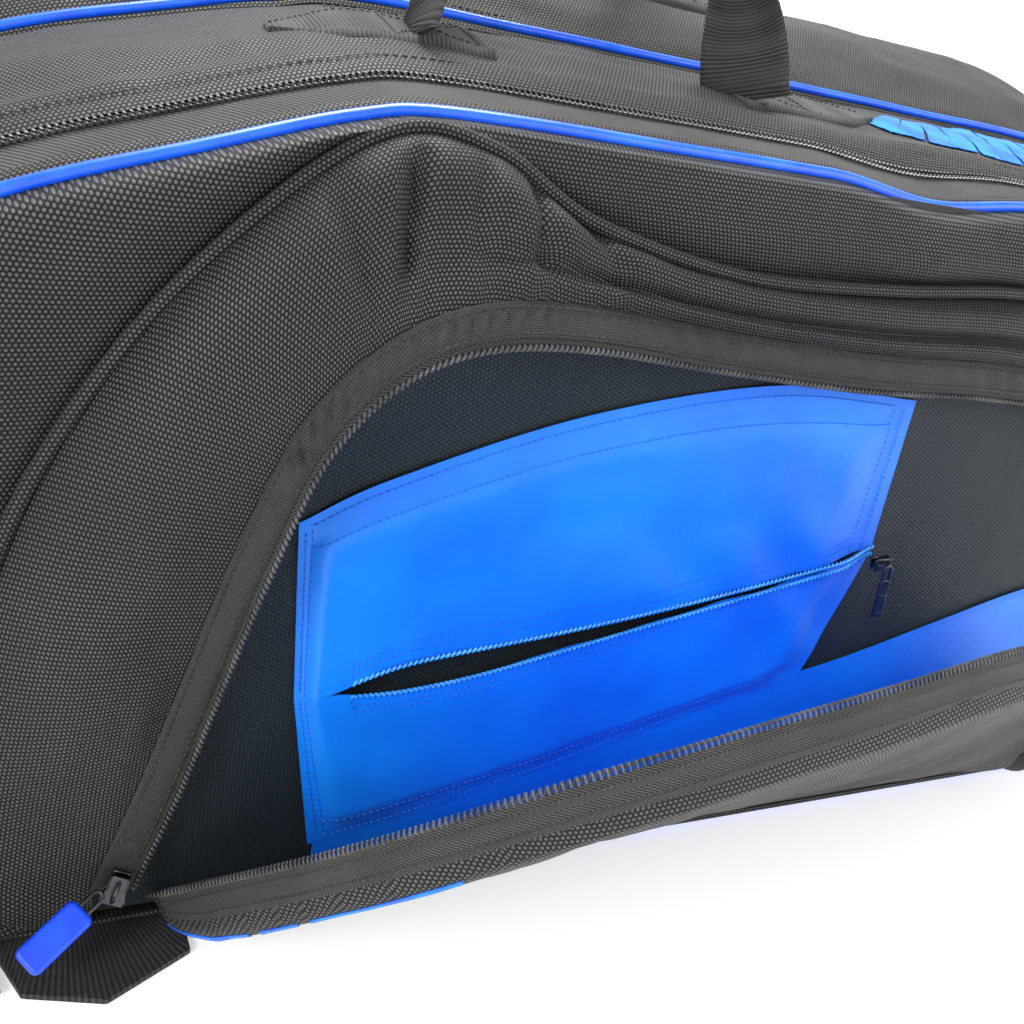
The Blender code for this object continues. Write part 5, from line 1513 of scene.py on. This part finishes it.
def build_grip():
    """Padded grip wrapped round the top of the near handle and closed along its underside."""
    low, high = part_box("handle_wrap")
    middle = box_middle("handle_wrap")
    length = high[0] - low[0]
    wide, tall = (high[1] - low[1]) * 0.5, (high[2] - low[2]) * 0.5
    rows = []
    for t in shares(64):
        x = low[0] + length * t
        end = np.clip(min(t, 1.0 - t) / 0.06, 0.0, 1.0)
        swell = 0.86 + 0.14 * hump(t) ** 0.5 - 0.10 * (1.0 - np.sqrt(1.0 - (1.0 - end) ** 2))
        drop = 0.0022 * (2.0 * t - 1.0) ** 2
        ring = []
        for angle in np.linspace(0.0, 2 * np.pi, 57)[:-1]:
            c, s = np.cos(angle), np.sin(angle)
            shape = (abs(c) ** 2.6 + abs(s) ** 2.6) ** (-1 / 2.6)
            reach = swell * shape
            ring.append((x, middle[1] + wide * reach * c, middle[2] - drop + tall * reach * s))
        rows.append(ring)
    outer = np.array(rows)
    centre = outer.mean(axis=1, keepdims=True)
    outer = outer + unit(outer - centre) * (0.00045 * folds(outer, (90.0, 60.0, 60.0), 101))[:, :, None]
    outer = np.concatenate([outer, outer[:, :1]], axis=1)
    inner = centre + (outer - centre) * 0.62
    grip = sheet_mesh("handle_grip", outer, 0.0, "near_handle", PADDED, ("handle_wrap",),
                      both=inner)
    for label, row in (("start", 3), ("end", -4)):
        line = outer[row] + unit(outer[row] - centre[row]) * 0.0002
        tube_mesh("handle_grip_binding_" + label, line[:-1], 0.0014, 8, "near_handle", BINDING,
                  closed=True, up=(1.0, 0.0, 0.05))


def build_end_handle():
    """Flat grab handle on the bag's end."""
    low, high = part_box("end_handle")
    x0, reach = low[0] + 0.0008, high[0] - low[0] - 0.0030
    z0, z1 = low[2] + 0.001, high[2] - 0.001
    middle = 0.5 * (z0 + z1)
    half = 0.5 * (z1 - z0)
    stops = []
    for t in (-1.0, -0.93, -0.80, -0.60, -0.40, -0.18, 0.0, 0.18, 0.40, 0.60, 0.80, 0.93, 1.0):
        lift = np.clip(1.0 - max(0.0, abs(t) - 0.15) / 0.72, 0.0, 1.0)
        stops.append((x0 + reach * smooth_step(lift, 0.0, 1.0), 0.0, middle + half * t))
    path = spline(stops, 10)
    webbing_mesh("end_handle_webbing", path, REAR, 0.0250, "bag", ("end_handle",),
                 curl=0.5 * np.sin(np.linspace(0.0, np.pi, len(path))) + 0.06)
    for label, t in (("low", 0.035), ("high", 0.965)):
        centre = path[int(t * (len(path) - 1))]
        for k in (-1, 1):
            line = np.array([centre + np.array([0.0022, y, k * 0.0030])
                             for y in np.linspace(-0.010, 0.010, 12)])
            stitch_mesh("end_handle_stitches_%s_%d" % (label, k + 1), line, "bag", STRAP_THREAD,
                        lift=(1.0, 0.0, 0.0), radius=BOLD_THREAD_R)


# ---- stowed shoulder straps and the base ----------------------------------------------------------
def build_base():
    """Base panel: two channels for the stowed straps, on a foam-backed cloth."""
    low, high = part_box("base_panel")
    edge = -low[1]
    profile = [(-edge, 0.0008), (-0.106, 0.0003), (-0.1015, 0.0006), (-0.0985, 0.0125), (-0.0960, 0.0135),
               (-0.0640, 0.0137), (-0.0300, 0.0135), (-0.0275, 0.0125), (-0.0245, 0.0006), (-0.0220, 0.0003)]
    profile += [(0.0, 0.0002)] + [(-y, z) for y, z in reversed(profile)]
    cross = resample(spline([(0.0, y, z) for y, z in profile], 8), 0.0018)
    xs = np.linspace(low[0], high[0], 90)
    grid = np.array([[(x, p[1], p[2]) for p in cross] for x in xs])
    grid[:, :, 2] += 0.0004 * np.abs(folds(grid, (18.0, 24.0, 1.0), 111))
    behind = grid.copy()
    behind[:, :, 2] += 0.0034
    sheet_mesh("base_cloth", grid, 0.0, "bag", FABRIC, ("base_panel",), both=behind,
               held="stretched", facing=DOWN)


def shoulder_strap(prefix, side):
    """Padded strap lying in its channel: rounded foam between mesh faces, bound along both edges."""
    low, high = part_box(prefix + "_shoulder_strap")
    x0, x1 = low[0], high[0]
    y0, y1 = sorted((abs(low[1]), abs(high[1])))
    middle, half = 0.5 * (y0 + y1), 0.5 * (y1 - y0) - 0.0015
    tall = high[2] - low[2]
    share = np.linspace(-1.0, 1.0, 17)
    top_rows, low_rows, rail = [], [], []
    for t in shares(120):
        x = x0 + (x1 - x0) * t
        end = np.clip(min(t, 1.0 - t) / 0.055, 0.0, 1.0)
        width = half * (0.62 + 0.38 * np.sqrt(1.0 - (1.0 - end) ** 2))
        crown = np.clip(1.0 - np.abs(share) ** 4, 0.0, 1.0) ** 0.6 * (0.45 + 0.55 * end ** 0.5)
        y = side * (middle + share * width)
        z = low[2] + tall * 0.5
        top_rows.append(points_at(x, y, z + 0.0006 + (tall * 0.5 - 0.001) * crown))
        low_rows.append(points_at(x, y, z - 0.0006 - (tall * 0.5 - 0.0008) * crown))
        rail.append([(x, side * (middle - width), z), (x, side * (middle + width), z)])
    top, under = np.array(top_rows), np.array(low_rows)
    top[:, :, 2] -= 0.0005 * np.abs(folds(top, (40.0, 60.0, 1.0), 121))
    strap = sheet_mesh(prefix + "_strap_pad", under, 0.0, "bag", PADDED,
                       (prefix + "_shoulder_strap",), both=top, facing=DOWN)
    rail = np.array(rail)
    for label, line in (("inner", rail[:, 0]), ("outer", rail[:, 1])):
        tube_mesh("%s_strap_binding_%s" % (prefix, label), line, 0.0022, 8, "bag", BINDING)


def ladder_lock(prefix):
    """Moulded ladder lock: a frame with two bars that the webbing threads through."""
    low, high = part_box(prefix + "_ladder_lock")
    middle = box_middle(prefix + "_ladder_lock")
    length, width, tall = high[0] - low[0], high[1] - low[1], high[2] - low[2]
    bm = bmesh.new()
    for s in (-1, 1):
        y = middle[1] + s * (width / 2 - 0.0022)
        add_rod(bm, [(low[0] + 0.002, y, middle[2]), (middle[0], y, middle[2] + 0.0002),
                     (high[0] - 0.002, y, middle[2])], tall * 0.48)
    for share in (0.08, 0.50, 0.92):
        x = low[0] + length * share
        add_rod(bm, [(x, middle[1] - width / 2 + 0.002, middle[2]), (x, middle[1], middle[2]),
                     (x, middle[1] + width / 2 - 0.002, middle[2])], tall * (0.34 if share == 0.5 else 0.44))
    bmesh_piece(prefix + "_ladder_lock_frame", bm, "bag", PLASTIC, (prefix + "_ladder_lock",))


def flat_webbing(name, route, width, node):
    """Webbing lying on the floor along a route of its middle line."""
    path = resample(spline([(x, y, 0.0016) for x, y in route], 12), 0.002)
    across = np.cross(tangents(path), UP)
    path[:, 2] += 0.0005 + 0.0005 * noise_at(path, (40.0, 40.0, 1.0), 131)
    return webbing_mesh(name, path, across, width, "bag", node, thickness=0.0021)


def build_straps():
    """Stowed shoulder straps with their locks and anchors."""
    for prefix, side in SIDES:
        shoulder_strap(prefix, side)
        ladder_lock(prefix)
        build_anchor(prefix, side)


def build_anchor(prefix, side):
    """Adjusting webbing that comes out from under the end, and the tab it is anchored by."""
    route = [(x, side * y) for x, y in (
        (-0.350, 0.0610), (-0.3640, 0.0660), (-0.3710, 0.085), (-0.3660, 0.118),
        (-0.346, 0.1385), (-0.312, 0.1435), (-0.276, 0.1365), (-0.2565, 0.1325))]
    flat_webbing(prefix + "_adjusting_webbing", route, 0.024, (prefix + "_strap_webbing",))
    corners = [np.array(p) for p in ((-0.258, 0.1182), (-0.186, 0.1182), (-0.186, 0.141), (-0.219, 0.158),
                                     (-0.2475, 0.1475))]
    top = resample_to([corners[0], corners[1]], 60)
    edge = resample_to([corners[0], corners[4], corners[3], corners[2], corners[1]], 60)
    rows = []
    for a, b in zip(top, edge):
        rows.append([(p[0], side * p[1], 0.0) for p in (a + (b - a) * s for s in shares(26))])
    grid = np.array(rows)
    crease = np.abs(grid[:, :, 0] + 0.219 + 0.35 * (np.abs(grid[:, :, 1]) - 0.158))
    rib = np.where(grid[:, :, 0] < -0.219, grid[:, :, 0] + 0.5 * np.abs(grid[:, :, 1]),
                   grid[:, :, 0] - 0.8 * np.abs(grid[:, :, 1]))
    top_face, under = grid.copy(), grid.copy()
    top_face[:, :, 2] = 0.0030 + 0.00022 * np.cos(2 * np.pi * rib / RIB_PITCH) \
        - 0.0005 * bump(crease, 0.0, 0.0012)
    under[:, :, 2] = 0.0006
    sheet_mesh(prefix + "_anchor_webbing", top_face, 0.0, "bag", WEBBING, (prefix + "_anchor_tab",),
               both=under, sharp=RIB_SHARP, facing=UP)


# ---- far side -------------------------------------------------------------------------------------
def build_far_side():
    """Padded skin of the far side panel, and the pocket on it."""
    top, low = closed_outline(1)
    outer = np.vstack([resample_to(top, TOP_POINTS), resample_to(low, LOW_POINTS)])
    core = outer.copy()
    core[:, 0] = np.clip(outer[:, 0], -0.215, 0.270)
    core[:, 2] = 0.150
    share = shares(64) ** 1.25
    grid = outer[:, None] * (1.0 - share)[None, :, None] + core[:, None] * share[None, :, None]
    depth = share[None, :] * np.linalg.norm(core - outer, axis=1)[:, None]
    fall = smooth_step(depth, 0.0, 0.075)
    waves = 0.0024 * folds(grid, (9.0, 1.0, 9.0), 141) + 0.0007 * folds(grid, (36.0, 1.0, 26.0), 142)
    under_pocket = smooth_step(0.262 - np.abs(grid[:, :, 0]), -0.02, 0.03) \
        * smooth_step(0.275 - grid[:, :, 2], -0.02, 0.02)
    swell = (0.0095 * fall ** 0.7 + waves * fall) * (1.0 - 0.90 * under_pocket)
    grid[:, :, 1] = PANEL_Y + 0.0010 + 0.0032 * smooth_step(depth, 0.0, 0.012) + swell
    sheet_mesh("far_panel_cloth", grid, CLOTH_T, "far_lid", FABRIC, ("far_side_panel",), ring=True,
               held="stretched", planar=True, facing=REAR)
    build_far_pocket()


def build_far_pocket():
    """Closed accessory pocket: gusseted shell with a rolled edge, a zip under its top edge and its tapes."""
    low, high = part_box("far_pocket_shell")
    wall = PANEL_Y + 0.0052
    depth = high[1] - wall - 0.0024
    zip_z = box_middle("far_pocket_zip")[2]

    def height(share):
        """Rounded rise of the shell from its seam, as a share of its depth."""
        edge = np.minimum(share, 1.0 - share)
        return 1.0 - np.maximum(0.0, 1.0 - edge / 0.085) ** 2.6

    u, v = np.meshgrid(eased(120), eased(80), indexing="ij")
    shrink = 1.0 - 0.10 * v
    x = low[0] * shrink + u * (high[0] - low[0]) * shrink
    z = low[2] + v * (high[2] - low[2])
    body = height(u) * height(v)
    grid = np.stack([x, wall + depth * body, z], axis=2)
    waves = -0.0022 * np.abs(folds(grid, (12.0, 1.0, 12.0), 151)) \
        - 0.0006 * np.abs(folds(grid, (40.0, 1.0, 40.0), 152))
    near_zip = bump(z, zip_z, 0.012) * smooth_step(0.176 - np.abs(x), 0.0, 0.02)
    zip_dent = bump(z, zip_z, 0.004) * smooth_step(0.168 - np.abs(x), 0.0, 0.01)
    grid[:, :, 1] += waves * body * (1.0 - near_zip) - 0.0012 * zip_dent
    sheet_mesh("far_pocket_cloth", grid, CLOTH_T, "far_lid", FABRIC, ("far_pocket_shell",), held="gathered",
               facing=REAR)
    ring = np.vstack([grid[:, 0], grid[-1, 1:], grid[::-1, -1][1:], grid[0, ::-1][1:-1]])
    ring = resample(ring, 0.004)
    ring[:, 1] = wall + 0.0018
    tube_mesh("far_pocket_seam_roll", ring[:-1], 0.0022, 10, "far_lid", FABRIC, closed=True,
              up=(0.05, 1.0, 0.05))
    face_y = box_middle("far_pocket_zip")[1]
    line = points_at(np.linspace(-0.160, 0.160, 161), face_y, zip_z)
    for label, sign, phase, nodes in (("upper", 1.0, 0.0, ("far_pocket_zip",)), ("lower", -1.0, np.pi, ())):
        coil_mesh("far_pocket_teeth_" + label, line + sign * COIL_OFFSET * UP, (0.2, 0.0, sign), REAR,
                  "far_lid", COIL, nodes, half_width=0.0015, half_height=0.0010, wire=0.0005,
                  turn_steps=8, phase=phase)
        tape = np.stack([line + np.array([0.0, -0.0012, sign * w]) for w in (0.0024, 0.0045, 0.0075)], axis=1)
        sheet_mesh("far_pocket_tape_" + label, tape, 0.0007, "far_lid", TAPE, facing=REAR)
        stitch_mesh("far_pocket_stitches_" + label, line + np.array([0.0, 0.0001, sign * 0.0090]),
                    "far_lid", THREAD, lift=REAR)


# ---- generic printed mark -------------------------------------------------------------------------
MARK_X = (0.128, 0.300)
MARK_Y = (-0.0810, -0.022)


def build_mark():
    """Generic printed flash on the top: a leaf-shaped field cut by slanting strokes."""
    strokes = 12
    for k in range(strokes):
        t0, t1 = k / strokes, (k + 0.93) / strokes
        rows = []
        for t in np.linspace(t0, t1, 10):
            swell = np.sin(np.pi * (0.13 + 0.80 * t)) ** 0.9
            x = MARK_X[0] + (MARK_X[1] - MARK_X[0]) * t
            mid_y = MARK_Y[0] + (MARK_Y[1] - MARK_Y[0]) * (0.62 - 0.20 * t)
            half = 0.5 * (MARK_Y[1] - MARK_Y[0]) * swell
            row = []
            for s in np.linspace(-1.0, 1.0, 16):
                lean = 0.016 * s
                row.append((x + lean, mid_y + s * half * (1.0 - 0.10 * (k % 2)), 0.0))
            rows.append(row)
        grid = np.array(rows)
        grid[:, :, 2] = mark_height(grid)
        sheet_mesh("top_mark_%d" % k, grid, 0.0003, "bag", PRINT, facing=UP)


def mark_height(grid):
    """Height of the near gusset's cloth under each point, a hair above it."""
    cloth = bpy.data.objects["near_gusset_cloth"].data
    co = np.zeros(len(cloth.vertices) * 3)
    cloth.vertices.foreach_get("co", co)
    co = co.reshape(-1, 3)[:len(cloth.vertices) // 2]
    spot = co[(co[:, 2] > 0.3) & (co[:, 0] > MARK_X[0] - 0.04) & (co[:, 0] < MARK_X[1] + 0.04)]
    points = grid.reshape(-1, 3)
    gap = np.linalg.norm(points[:, None, :2] - spot[None, :, :2], axis=2)
    near = np.argsort(gap, axis=1)[:, :4]
    weight = 1.0 / (np.take_along_axis(gap, near, axis=1) + 1e-5)
    height = (spot[near, 2] * weight).sum(axis=1) / weight.sum(axis=1)
    return (height + 0.0010).reshape(grid.shape[:2])


make_camera()
make_stage()
build_shell()
build_plates()
build_near_panel()
build_upper_wall()
build_lower_wall()
build_back_lining()
build_turn_up()
build_inner_pocket()
build_hardware()
build_handles()
build_end_handle()
build_base()
build_straps()
build_far_side()
build_mark()
